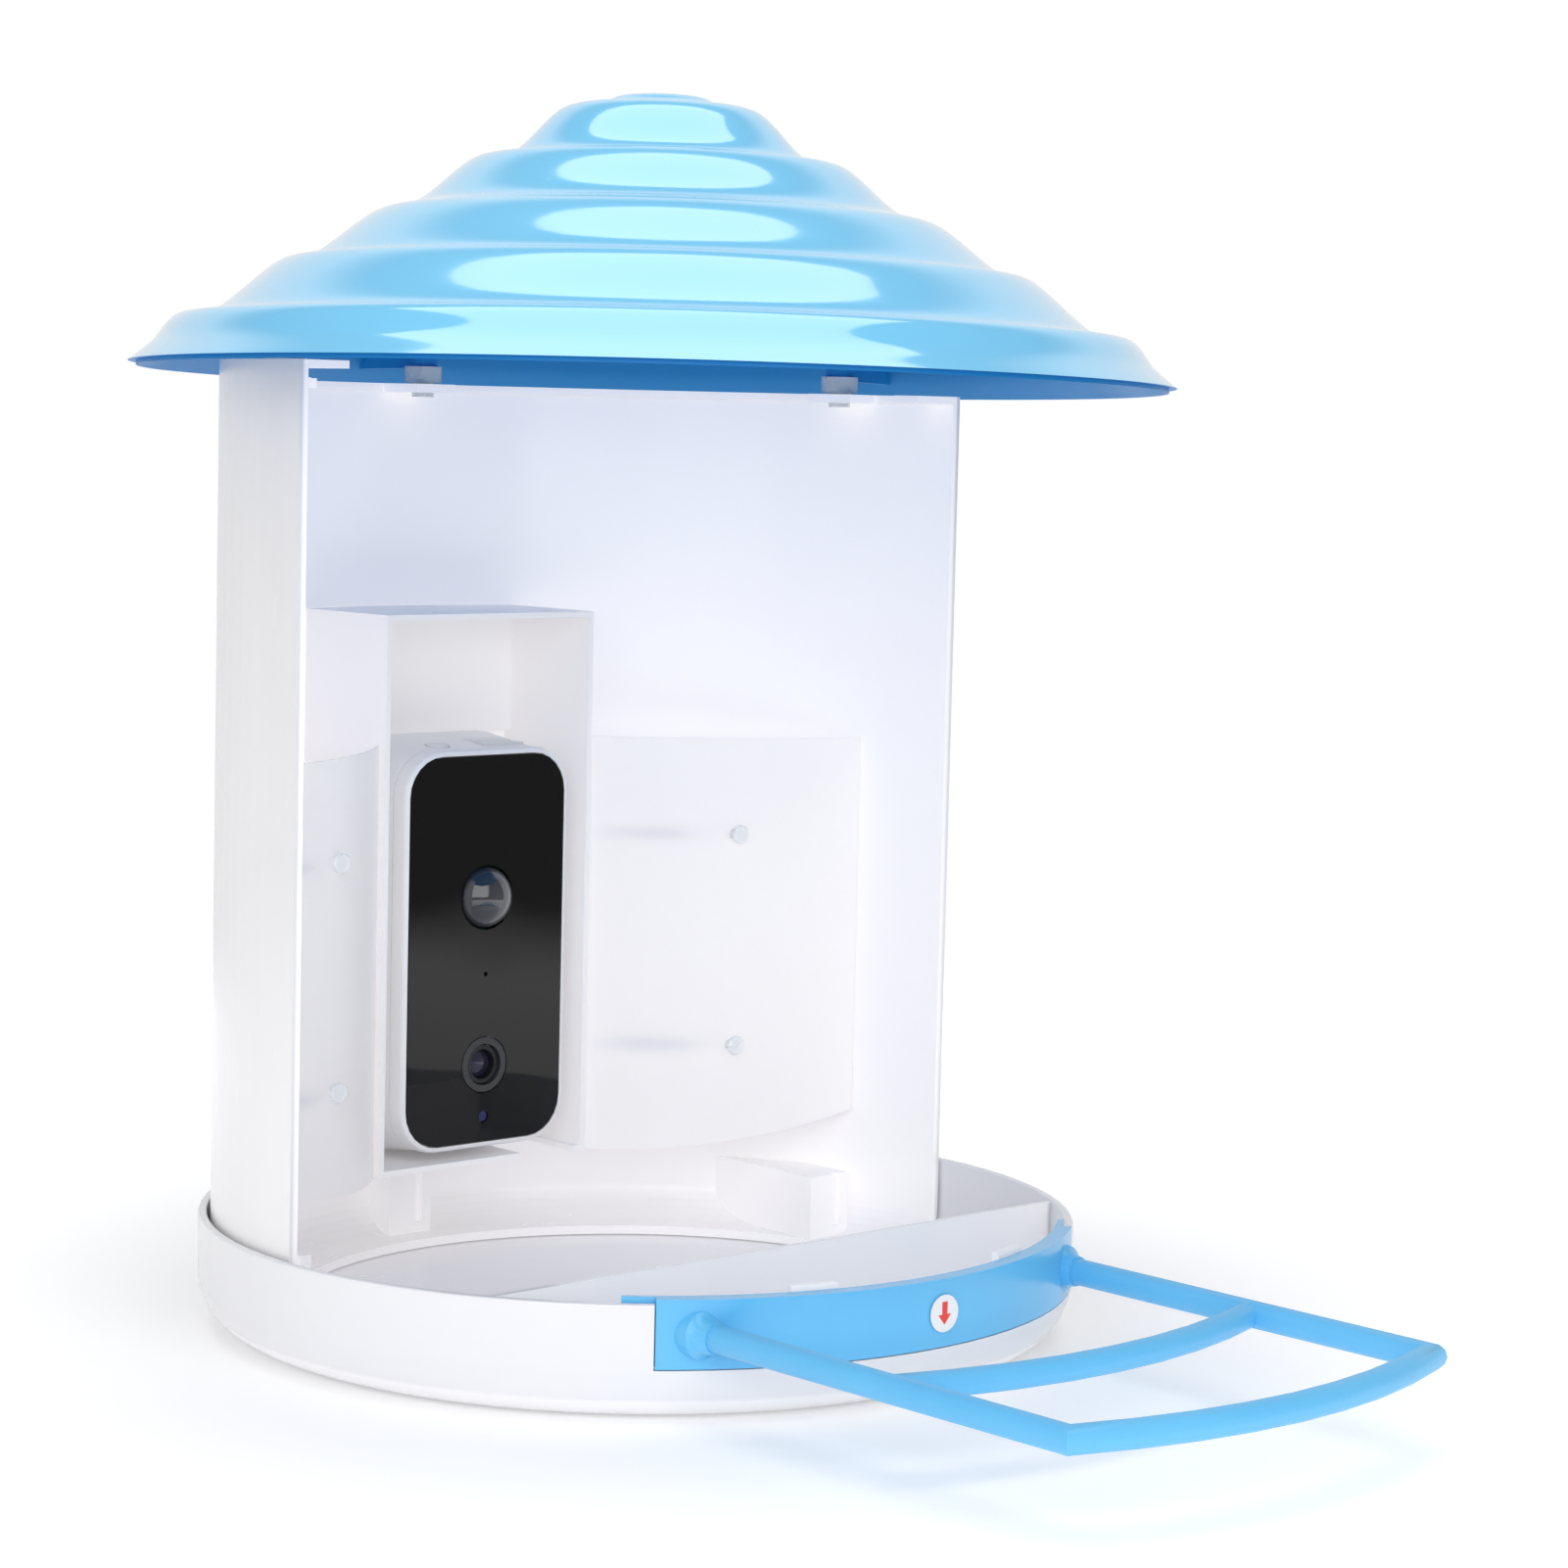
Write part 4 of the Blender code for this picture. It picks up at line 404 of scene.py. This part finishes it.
    def wear(self, *names):
        """Puts the material on the CAD nodes that are named."""
        for name in names:
            for slot in nodes[name].material_slots:
                slot.link = "OBJECT"
                slot.material = self.material
        return self


def colour(red, green, blue):
    """A linear colour with full cover."""
    return (red, green, blue, 1.0)


def scuffs(paint, scale, stretch):
    """Faint rubbed lines, from 0 to 1."""
    lines = paint.noise(scale, 3.0, 0.6, paint.shifted(stretch=stretch))
    patches = paint.noise(scale * 0.15, 2.0)
    sharp = paint.spread(lines, 0.60, 0.72, 0.0, 1.0)
    return paint.math("MULTIPLY", sharp, paint.spread(patches, 0.50, 0.65, 0.0, 1.0))


def moulded_white(name, light, dark, rough):
    """Gloss white moulded plastic: faint flow clouds, fine grain, a slow wave and a few scuffs."""
    paint = Paint(name, IOR=1.5)
    clouds = paint.noise(14.0, 3.0, 0.6)
    paint.set("Base Color", paint.blend(paint.spread(clouds, 0.35, 0.65, 0.0, 1.0), dark, light))
    fine = paint.noise(1400.0, 2.0)
    rubbed = scuffs(paint, 260.0, (1.0, 1.0, 0.08))
    base_rough = paint.spread(paint.noise(35.0, 3.0), *CLOUD_RANGE, *rough)
    paint.set("Roughness", paint.math("ADD", base_rough, paint.math("MULTIPLY", rubbed, 0.12)))
    paint.relief((paint.noise(9.0, 1.0), 0.5 * MM), (fine, 0.004 * MM), (rubbed, 0.004 * MM))
    return paint


# Just outside the inner surfaces of both walls, so that only the inner sides get the painted glow.
HOUSING_GLOW_RADIUS = 102.2 * MM
TRAY_GLOW_RADIUS = 103.2 * MM


def paint_white_pieces():
    """The housing, tray and box, with a painted glow for the light they let through, and the camera's case
    with a faint painted glow.
    """
    housing = moulded_white("housing_white", colour(0.875, 0.868, 0.885), colour(0.855, 0.848, 0.868),
                            (0.18, 0.26))
    housing.painted_glow(0.19, 0.31, HOUSING_GLOW_RADIUS)
    housing.wear("housing")
    tray = moulded_white("tray_white", colour(0.825, 0.824, 0.850), colour(0.805, 0.804, 0.832), (0.14, 0.22))
    tray.painted_glow(0.17, None, TRAY_GLOW_RADIUS)
    tray.wear("tray")
    box = moulded_white("box_white", colour(0.87, 0.862, 0.872), colour(0.85, 0.842, 0.855), (0.30, 0.40))
    box.painted_glow(0.15)
    box.wear("camera_box")
    case = moulded_white("case_white", colour(0.87, 0.87, 0.88), colour(0.85, 0.85, 0.862), (0.32, 0.42))
    case.painted_glow(0.05)
    case.wear("camera_bezel", "camera_rear_case")


def paint_roof(roof):
    """High gloss blue: a slow wave bends the reflections, as on thin moulded plastic. Satin inside, in a
    darker blue that is painted shade of the underside.
    """
    paint = Paint("roof_blue", IOR=1.55, Specular_IOR_Level=1.0,
                  Coat_Weight=0.8, Coat_Roughness=0.05, Coat_IOR=1.55)
    clouds = paint.spread(paint.noise(11.0, 3.0), *CLOUD_RANGE, 0.0, 1.0)
    paint.set("Base Color", paint.blend(clouds, colour(0.185, 0.630, 0.980), colour(0.200, 0.650, 0.985)))
    pits = paint.spread(paint.spots(95.0), 0.0, 0.055, 0.0, 1.0)
    rare = paint.spread(paint.noise(22.0, 1.0), 0.58, 0.66, 0.0, 1.0)
    dust = paint.math("MULTIPLY", paint.math("SUBTRACT", 1.0, pits), rare)
    paint.roughness(paint.noise(60.0, 3.0), 0.08, 0.13)
    wave, ripple = paint.noise(16.0, 2.0, 0.4), paint.noise(70.0, 1.0)
    paint.relief((wave, 0.7 * MM), (ripple, 0.025 * MM), (dust, 0.05 * MM))
    # The inside is the same plastic; its darker blue is painted shade.
    inside = Paint("roof_inside_shaded_blue", IOR=1.4, Specular_IOR_Level=0.3)
    clouds = inside.noise(40.0, 3.0)
    inside.set("Base Color", inside.blend(clouds, colour(0.012, 0.220, 0.560), colour(0.018, 0.250, 0.600)))
    inside.roughness(clouds, 0.35, 0.48)
    inside.relief((inside.noise(1100.0, 2.0), 0.010 * MM), (inside.noise(16.0, 2.0), 0.5 * MM))
    roof.data.materials.append(paint.material)
    roof.data.materials.append(inside.material)


BAND_END = (108.5 * MM, 112.5 * MM)  # the radii between which the perch turns from gloss to grain


def paint_perch():
    """Blue plastic: gloss on the band, and a fine spark-eroded grain on the rods."""
    paint = Paint("perch_blue", IOR=1.5)
    reach = paint.length(paint.shifted(stretch=(1, 1, 0)))
    grained = paint.spread(reach, *BAND_END, 0.0, 1.0)
    clouds = paint.spread(paint.noise(30.0, 3.0), *CLOUD_RANGE, 0.0, 1.0)
    paint.set("Base Color", paint.blend(clouds, colour(0.125, 0.500, 0.850), colour(0.140, 0.530, 0.880)))
    paint.set("Roughness", paint.spread(grained, 0.0, 1.0, 0.20, 0.40))
    fine = paint.math("MULTIPLY", paint.noise(1500.0, 2.0, 0.6), grained)
    coarse = paint.math("MULTIPLY", paint.noise(520.0, 2.0), grained)
    paint.relief((fine, 0.06 * MM), (coarse, 0.10 * MM), (paint.noise(40.0, 1.0), 0.10 * MM))
    paint.wear("perch")


# The sticker's arrow, in millimetres from its middle.
ARROW_TIP = -2.6
ARROW_HEAD_HEIGHT = 2.4
ARROW_HEAD_SLOPE = 0.85
SHAFT_HALF_WIDTH = 0.85
SHAFT_MIDDLE = 1.1
SHAFT_HALF_HEIGHT = 1.6


def paint_sticker():
    """White paper with a plain arrow that points down."""
    centre = middle_of("arrow_sticker")
    paint = Paint("sticker_paper", IOR=1.45)
    place = paint.shifted((centre.x, 0.0, centre.z), (1 / MM, 1.0, 1 / MM))
    across = paint.math("ABSOLUTE", paint.axis(place, "X"))
    up = paint.axis(place, "Z")
    above_tip = paint.math("SUBTRACT", up, ARROW_TIP)
    in_slope = paint.math("LESS_THAN", across, paint.math("MULTIPLY", above_tip, ARROW_HEAD_SLOPE))
    head = paint.math("MULTIPLY", in_slope, paint.math("LESS_THAN", above_tip, ARROW_HEAD_HEIGHT))
    from_shaft = paint.math("ABSOLUTE", paint.math("SUBTRACT", up, SHAFT_MIDDLE))
    shaft = paint.math("MULTIPLY", paint.math("LESS_THAN", across, SHAFT_HALF_WIDTH),
                       paint.math("LESS_THAN", from_shaft, SHAFT_HALF_HEIGHT))
    arrow = paint.math("MAXIMUM", head, shaft)
    fibre = paint.noise(900.0, 3.0)
    paper = paint.blend(fibre, colour(0.84, 0.84, 0.85), colour(0.90, 0.90, 0.90))
    ink = paint.blend(fibre, colour(0.78, 0.045, 0.035), colour(0.86, 0.075, 0.055))
    paint.set("Base Color", paint.blend(arrow, paper, ink))
    paint.roughness(fibre, 0.35, 0.45)
    paint.relief((fibre, 0.01 * MM), (arrow, 0.01 * MM))
    paint.wear("arrow_sticker")


# The painted shadow of each standoff, put into the sheet's colour.
SHADOW_SHIFT = 17.0 * MM             # from each pin to its shadow's middle, to the left
SHADOW_SIZE = (16.0 * MM, 3.6 * MM)  # half width and half height
SHADOW_STRENGTH = 0.5


def paint_sheets():
    """Frosted plastic sheet, with the blurred shadow of the standoffs behind it painted beside each pin, and
    a faint painted glow.
    """
    paint = Paint("frosted_sheet", IOR=1.30, Transmission_Weight=0.35)
    clouds = paint.noise(18.0, 3.0)
    low_pin, high_pin = middle_of("sheet_pin_right_lower"), middle_of("sheet_pin_right_upper")
    from_axis = paint.math("ABSOLUTE", paint.math("ADD", paint.axis(paint.place, "X"), SHADOW_SHIFT))
    along = paint.math("SUBTRACT", from_axis, low_pin.x)
    from_middle = paint.math("SUBTRACT", paint.axis(paint.place, "Z"), (low_pin.z + high_pin.z) / 2)
    up = paint.math("SUBTRACT", paint.math("ABSOLUTE", from_middle), (high_pin.z - low_pin.z) / 2)
    spot = paint.add("ShaderNodeCombineXYZ", {0: paint.math("DIVIDE", along, SHADOW_SIZE[0]),
                                              1: paint.math("DIVIDE", up, SHADOW_SIZE[1])}).outputs[0]
    shade = paint.fade(paint.length(spot), 0.0, 1.0, SHADOW_STRENGTH, 0.0)
    milk = paint.blend(clouds, colour(0.950, 0.940, 0.945), colour(0.970, 0.965, 0.968))
    paint.set("Base Color", paint.blend(shade, milk, colour(0.69, 0.70, 0.80)))
    paint.roughness(clouds, 0.36, 0.44)
    paint.relief((paint.noise(2200.0, 1.0), 0.004 * MM), (paint.noise(12.0, 1.0), 0.35 * MM))
    # Painted glow: emission that stands in for light through the sheet.
    paint.painted_glow(0.095)
    paint.wear("seed_sheet_left", "seed_sheet_right")


def translucent(name, dark, light, rough):
    """Milky plastic with faint clouds and a fine grain."""
    paint = Paint(name, IOR=1.46, Transmission_Weight=0.35)
    clouds = paint.noise(120.0, 3.0)
    paint.set("Base Color", paint.blend(clouds, dark, light))
    paint.roughness(clouds, *rough)
    paint.relief((paint.noise(900.0, 2.0), 0.006 * MM))
    return paint


def paint_clear_pieces():
    """Translucent plastic of the sleeves and the pins; the pins have a faint painted glow."""
    sleeve = translucent("sleeve_plastic", colour(0.80, 0.85, 0.90), colour(0.86, 0.90, 0.94), (0.24, 0.36))
    sleeve.wear(*[name for name in nodes if name.startswith("roof_sleeve")])
    pin = translucent("clear_plastic", colour(0.86, 0.89, 0.92), colour(0.93, 0.95, 0.97), (0.22, 0.34))
    pin.painted_glow(0.10)
    pin.wear(*[name for name in nodes if name.startswith("sheet_pin")])


def dark_gloss(name, base, rough, wave, bend=1.5):
    """Dark plastic or glass with a slow wave in its surface and a few specks of dust."""
    paint = Paint(name, IOR=bend)
    clouds = paint.noise(45.0, 3.0)
    paint.set("Base Color", paint.blend(clouds, colour(*base), colour(*[value * 1.4 for value in base])))
    paint.roughness(clouds, *rough)
    specks = paint.spread(paint.spots(420.0), 0.0, 0.10, 1.0, 0.0)
    rare = paint.math("MULTIPLY", specks, paint.spread(paint.noise(60.0, 1.0), 0.60, 0.64, 0.0, 1.0))
    paint.relief((paint.noise(28.0, 1.0), wave), (rare, 0.02 * MM))
    return paint


def paint_camera_front():
    """The black window and what sits in it."""
    window = dark_gloss("window_black", (0.0020, 0.0019, 0.0021), (0.02, 0.05), 0.20 * MM, bend=1.42)
    window.wear("camera_window")
    plastic = dark_gloss("dark_plastic", (0.012, 0.012, 0.014), (0.25, 0.38), 0.02 * MM)
    plastic.wear("image_sensor", "power_switch")
    paint_dome()
    paint_lens()


DOME_SHEEN_RADIUS = 6.5  # millimetres from the dome's middle, where its painted sheen ends


def paint_dome():
    """Smoked dome: a lens pattern of small cells is moulded on it, and a painted sheen makes its middle
    paler.
    """
    paint = Paint("dome_smoke", IOR=1.52, Transmission_Weight=0.25, Coat_Weight=1.0)
    cells = paint.add("ShaderNodeTexVoronoi", {"Vector": paint.place, "Scale": 420.0},
                      feature="DISTANCE_TO_EDGE")
    edge = paint.spread(cells.outputs["Distance"], 0.0, 0.06, 0.0, 1.0)
    painted_sheen = paint.spread(paint.radius(middle_of("pir_dome")), 0.0, DOME_SHEEN_RADIUS, 1.0, 0.0)
    paint.set("Base Color", paint.blend(painted_sheen, colour(0.030, 0.030, 0.036), colour(0.070, 0.070, 0.082)))
    paint.roughness(paint.noise(160.0, 2.0), 0.05, 0.10)
    paint.relief((edge, 0.006 * MM))
    paint.wear("pir_dome")


def paint_lens():
    """The lens: a satin ring, a barrel with fine grooves, coated glass, and the light pipe under it."""
    centre = middle_of("lens_ring")
    for name, base, rough, groove in (("lens_ring", 0.035, 0.30, 9.0), ("lens_barrel", 0.010, 0.34, 16.0)):
        paint = Paint(name + "_black", IOR=1.5)
        rings = paint.math("SINE", paint.math("MULTIPLY", paint.radius(centre), groove))
        fine = paint.noise(900.0, 2.0)
        light = colour(base * 1.5, base * 1.5, base * 1.6)
        paint.set("Base Color", paint.blend(fine, colour(base, base, base * 1.05), light))
        paint.roughness(fine, rough, rough + 0.1)
        paint.relief((paint.spread(rings, -1.0, 1.0, 0.0, 1.0), 0.02 * MM), (fine, 0.004 * MM))
        paint.wear(name)
    glass = Paint("lens_coated_glass", IOR=1.6, Transmission_Weight=0.7, Roughness=0.02)
    tint = glass.noise(150.0, 1.0)
    glass.set("Base Color", glass.blend(tint, colour(0.05, 0.06, 0.13), colour(0.09, 0.07, 0.15)))
    glass.wear("lens_glass")
    pipe = Paint("light_pipe_blue", IOR=1.5)
    cloud = pipe.noise(800.0, 2.0)
    pipe.set("Base Color", pipe.blend(cloud, colour(0.008, 0.014, 0.070), colour(0.020, 0.032, 0.150)))
    pipe.roughness(cloud, 0.10, 0.22)
    pipe.wear("light_pipe")


def paint_rubber():
    """Soft matt rubber of the button and the cover."""
    paint = Paint("white_rubber", IOR=1.45)
    grain = paint.noise(1700.0, 3.0)
    paint.set("Base Color", paint.blend(grain, colour(0.83, 0.83, 0.84), colour(0.86, 0.86, 0.865)))
    paint.roughness(grain, 0.55, 0.70)
    paint.relief((grain, 0.02 * MM))
    paint.wear("power_button", "port_cover")


def paint_metal():
    """Plated steel of the screws, the socket and the sensors' cans."""
    paint = Paint("plated_steel", Metallic=1.0)
    brushed = paint.noise(900.0, 3.0, 0.6, paint.shifted(stretch=(1.0, 1.0, 0.15)))
    paint.set("Base Color", paint.blend(brushed, colour(0.50, 0.50, 0.52), colour(0.66, 0.66, 0.67)))
    paint.roughness(brushed, 0.22, 0.38)
    paint.relief((brushed, 0.01 * MM))
    screws = [name for name in nodes if name.startswith(("housing_screw", "case_screw"))]
    paint.wear(*screws, "charging_port", "microphone", "pir_sensor")


def paint_boards():
    """Green solder mask with paler tracks, copper pads and small dark parts."""
    paint = Paint("circuit_board", IOR=1.5)
    tracks = paint.add("ShaderNodeTexBrick", {
        "Vector": paint.place, "Scale": 260.0, "Mortar Size": 0.09,
        "Color1": colour(0.010, 0.120, 0.050), "Color2": colour(0.014, 0.150, 0.062),
        "Mortar": colour(0.030, 0.260, 0.110)})
    pads = paint.spread(paint.spots(330.0), 0.16, 0.18, 1.0, 0.0)
    some = paint.math("MULTIPLY", pads, paint.spread(paint.noise(90.0, 1.0), 0.52, 0.54, 0.0, 1.0))
    paint.set("Base Color", paint.blend(some, tracks.outputs["Color"], colour(0.78, 0.56, 0.22)))
    paint.set("Metallic", some)
    paint.roughness(paint.noise(500.0, 2.0), 0.28, 0.42)
    paint.relief((tracks.outputs["Fac"], 0.02 * MM), (some, 0.03 * MM))
    paint.wear("main_board", "sensor_board", "wifi_antenna")


CELL_END = 0.6 * MM  # the bare length at each end of a battery cell


def paint_cells():
    """Battery cells: a satin wrap, with steel at both ends."""
    low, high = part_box("battery_cell_left")
    paint = Paint("cell_wrap", IOR=1.45)
    along = paint.axis(paint.place, "Z")
    from_middle = paint.math("ABSOLUTE", paint.math("SUBTRACT", along, (low.z + high.z) / 2))
    end = paint.math("GREATER_THAN", from_middle, (high.z - low.z) / 2 - CELL_END)
    crease = paint.noise(240.0, 3.0, 0.6, paint.shifted(stretch=(1.0, 1.0, 0.2)))
    wrap = paint.blend(crease, colour(0.030, 0.160, 0.380), colour(0.040, 0.190, 0.440))
    paint.set("Base Color", paint.blend(end, wrap, colour(0.60, 0.60, 0.61)))
    paint.set("Metallic", end)
    paint.roughness(crease, 0.26, 0.40)
    paint.relief((crease, 0.03 * MM))
    paint.wear("battery_cell_left", "battery_cell_right")


def paint_speaker():
    """Speaker: a ribbed edge round a paper cone."""
    paint = Paint("speaker_cone", IOR=1.45)
    wave = paint.math("SINE", paint.math("MULTIPLY", paint.radius(middle_of("speaker")), 6.0))
    ribs = paint.spread(wave, -1.0, 1.0, 0.0, 1.0)
    fibre = paint.noise(700.0, 3.0)
    paint.set("Base Color", paint.blend(fibre, colour(0.018, 0.018, 0.020), colour(0.040, 0.040, 0.043)))
    paint.roughness(fibre, 0.50, 0.70)
    paint.relief((ribs, 0.12 * MM), (fibre, 0.02 * MM))
    paint.wear("speaker")


FLOOR_RADIUS = 0.80
FLOOR_SIDES = 96
FLOOR_FILL = (0.10, 0.50)      # the radii between which its own light rises
FLOOR_GLOW = (0.15, 0.68)      # from the first strength to the second
FLOOR_CLEAR = (0.44, 0.74)     # the radii between which it fades away
FLOOR_DROP = 0.1 * MM


def add_floor():
    """A plain pale floor that fades into the background."""
    bpy.ops.mesh.primitive_circle_add(vertices=FLOOR_SIDES, radius=FLOOR_RADIUS, fill_type="NGON",
                                      location=(0, 0, -FLOOR_DROP))
    floor = bpy.context.object
    floor.name = "floor"
    paint = Paint("floor_pale", IOR=1.4)
    cloud = paint.noise(3.0, 2.0)
    paint.set("Base Color", paint.blend(cloud, colour(0.90, 0.90, 0.905), colour(0.93, 0.93, 0.935)))
    paint.roughness(cloud, 0.60, 0.70)
    reach = paint.length(paint.place)
    paint.set("Alpha", paint.fade(reach, *FLOOR_CLEAR, 1.0, 0.0))
    paint.set("Emission Color", colour(1.0, 1.0, 1.0))
    paint.set("Emission Strength", paint.spread(reach, *FLOOR_FILL, *FLOOR_GLOW))
    floor.data.materials.append(paint.material)


LIGHT_AIM = (0.0, 0.0, 0.13)


def add_light(name, place, size, power):
    """A soft box that faces the feeder. Its size is width and height in metres, its power in watts."""
    data = bpy.data.lights.new(name, "AREA")
    data.shape = "RECTANGLE"
    data.size, data.size_y = size
    data.energy = power
    light = bpy.data.objects.new(name, data)
    light.location = place
    light.rotation_euler = (Vector(LIGHT_AIM) - Vector(place)).to_track_quat("-Z", "Y").to_euler()
    bpy.context.scene.collection.objects.link(light)


def toward(heading, reach, height):
    """A place at a heading from the feeder, where the camera's own side is 0."""
    turn = CAMERA_HEADING + heading
    return (-math.sin(turn) * reach, -math.cos(turn) * reach, height)


def add_lights():
    add_light("top_softbox", (-0.06, -0.08, 1.50), (1.40, 1.30), 10.0)
    add_light("front_softbox", toward(-0.08, 1.75, 0.80), (2.90, 1.55), 26.0)
    add_light("left_softbox", toward(1.25, 1.60, 0.55), (0.80, 1.20), 2.2)


SWEEP_FALL = -0.3                # tilts the sweep's direction towards the floor
SWEEP_EDGE = (0.30, 0.60)        # how directly a direction faces the sweep, from its edge to full strength
SWEEP_STRENGTH = (0.27, 0.85)    # of the studio around the feeder, then of the sweep behind it
BACKGROUND_STRENGTH = 1.0        # as the camera sees it


def add_world():
    """A white sweep behind the feeder and a dim studio around it. The background itself is pale."""
    world = bpy.data.worlds.new("studio")
    bpy.context.scene.world = world
    world.use_nodes = True
    tree = world.node_tree
    background = tree.nodes["Background"]
    background.inputs[0].default_value = (1.0, 1.0, 1.0, 1.0)
    place = tree.nodes.new("ShaderNodeTexCoord")
    facing = tree.nodes.new("ShaderNodeVectorMath")
    facing.operation = "DOT_PRODUCT"
    facing.inputs[1].default_value = (math.sin(CAMERA_HEADING), math.cos(CAMERA_HEADING), SWEEP_FALL)
    tree.links.new(place.outputs["Generated"], facing.inputs[0])
    sweep = tree.nodes.new("ShaderNodeMapRange")
    sweep.interpolation_type = "SMOOTHSTEP"
    for socket, value in zip(sweep.inputs[1:5], SWEEP_EDGE + SWEEP_STRENGTH):
        socket.default_value = value
    tree.links.new(facing.outputs["Value"], sweep.inputs[0])
    seen = tree.nodes.new("ShaderNodeLightPath")
    mix = tree.nodes.new("ShaderNodeMix")
    tree.links.new(seen.outputs["Is Camera Ray"], mix.inputs[0])
    tree.links.new(sweep.outputs[0], mix.inputs[2])
    mix.inputs[3].default_value = BACKGROUND_STRENGTH
    tree.links.new(mix.outputs[0], background.inputs[1])


def main():
    add_camera()
    roof = make_roof()
    smooth_nodes(roof)
    paint_white_pieces()
    paint_roof(roof)
    paint_perch()
    paint_sticker()
    paint_sheets()
    paint_clear_pieces()
    paint_camera_front()
    paint_rubber()
    paint_metal()
    paint_boards()
    paint_cells()
    paint_speaker()
    add_floor()
    add_lights()
    add_world()
    bpy.context.scene.view_settings.view_transform = "Standard"


main()
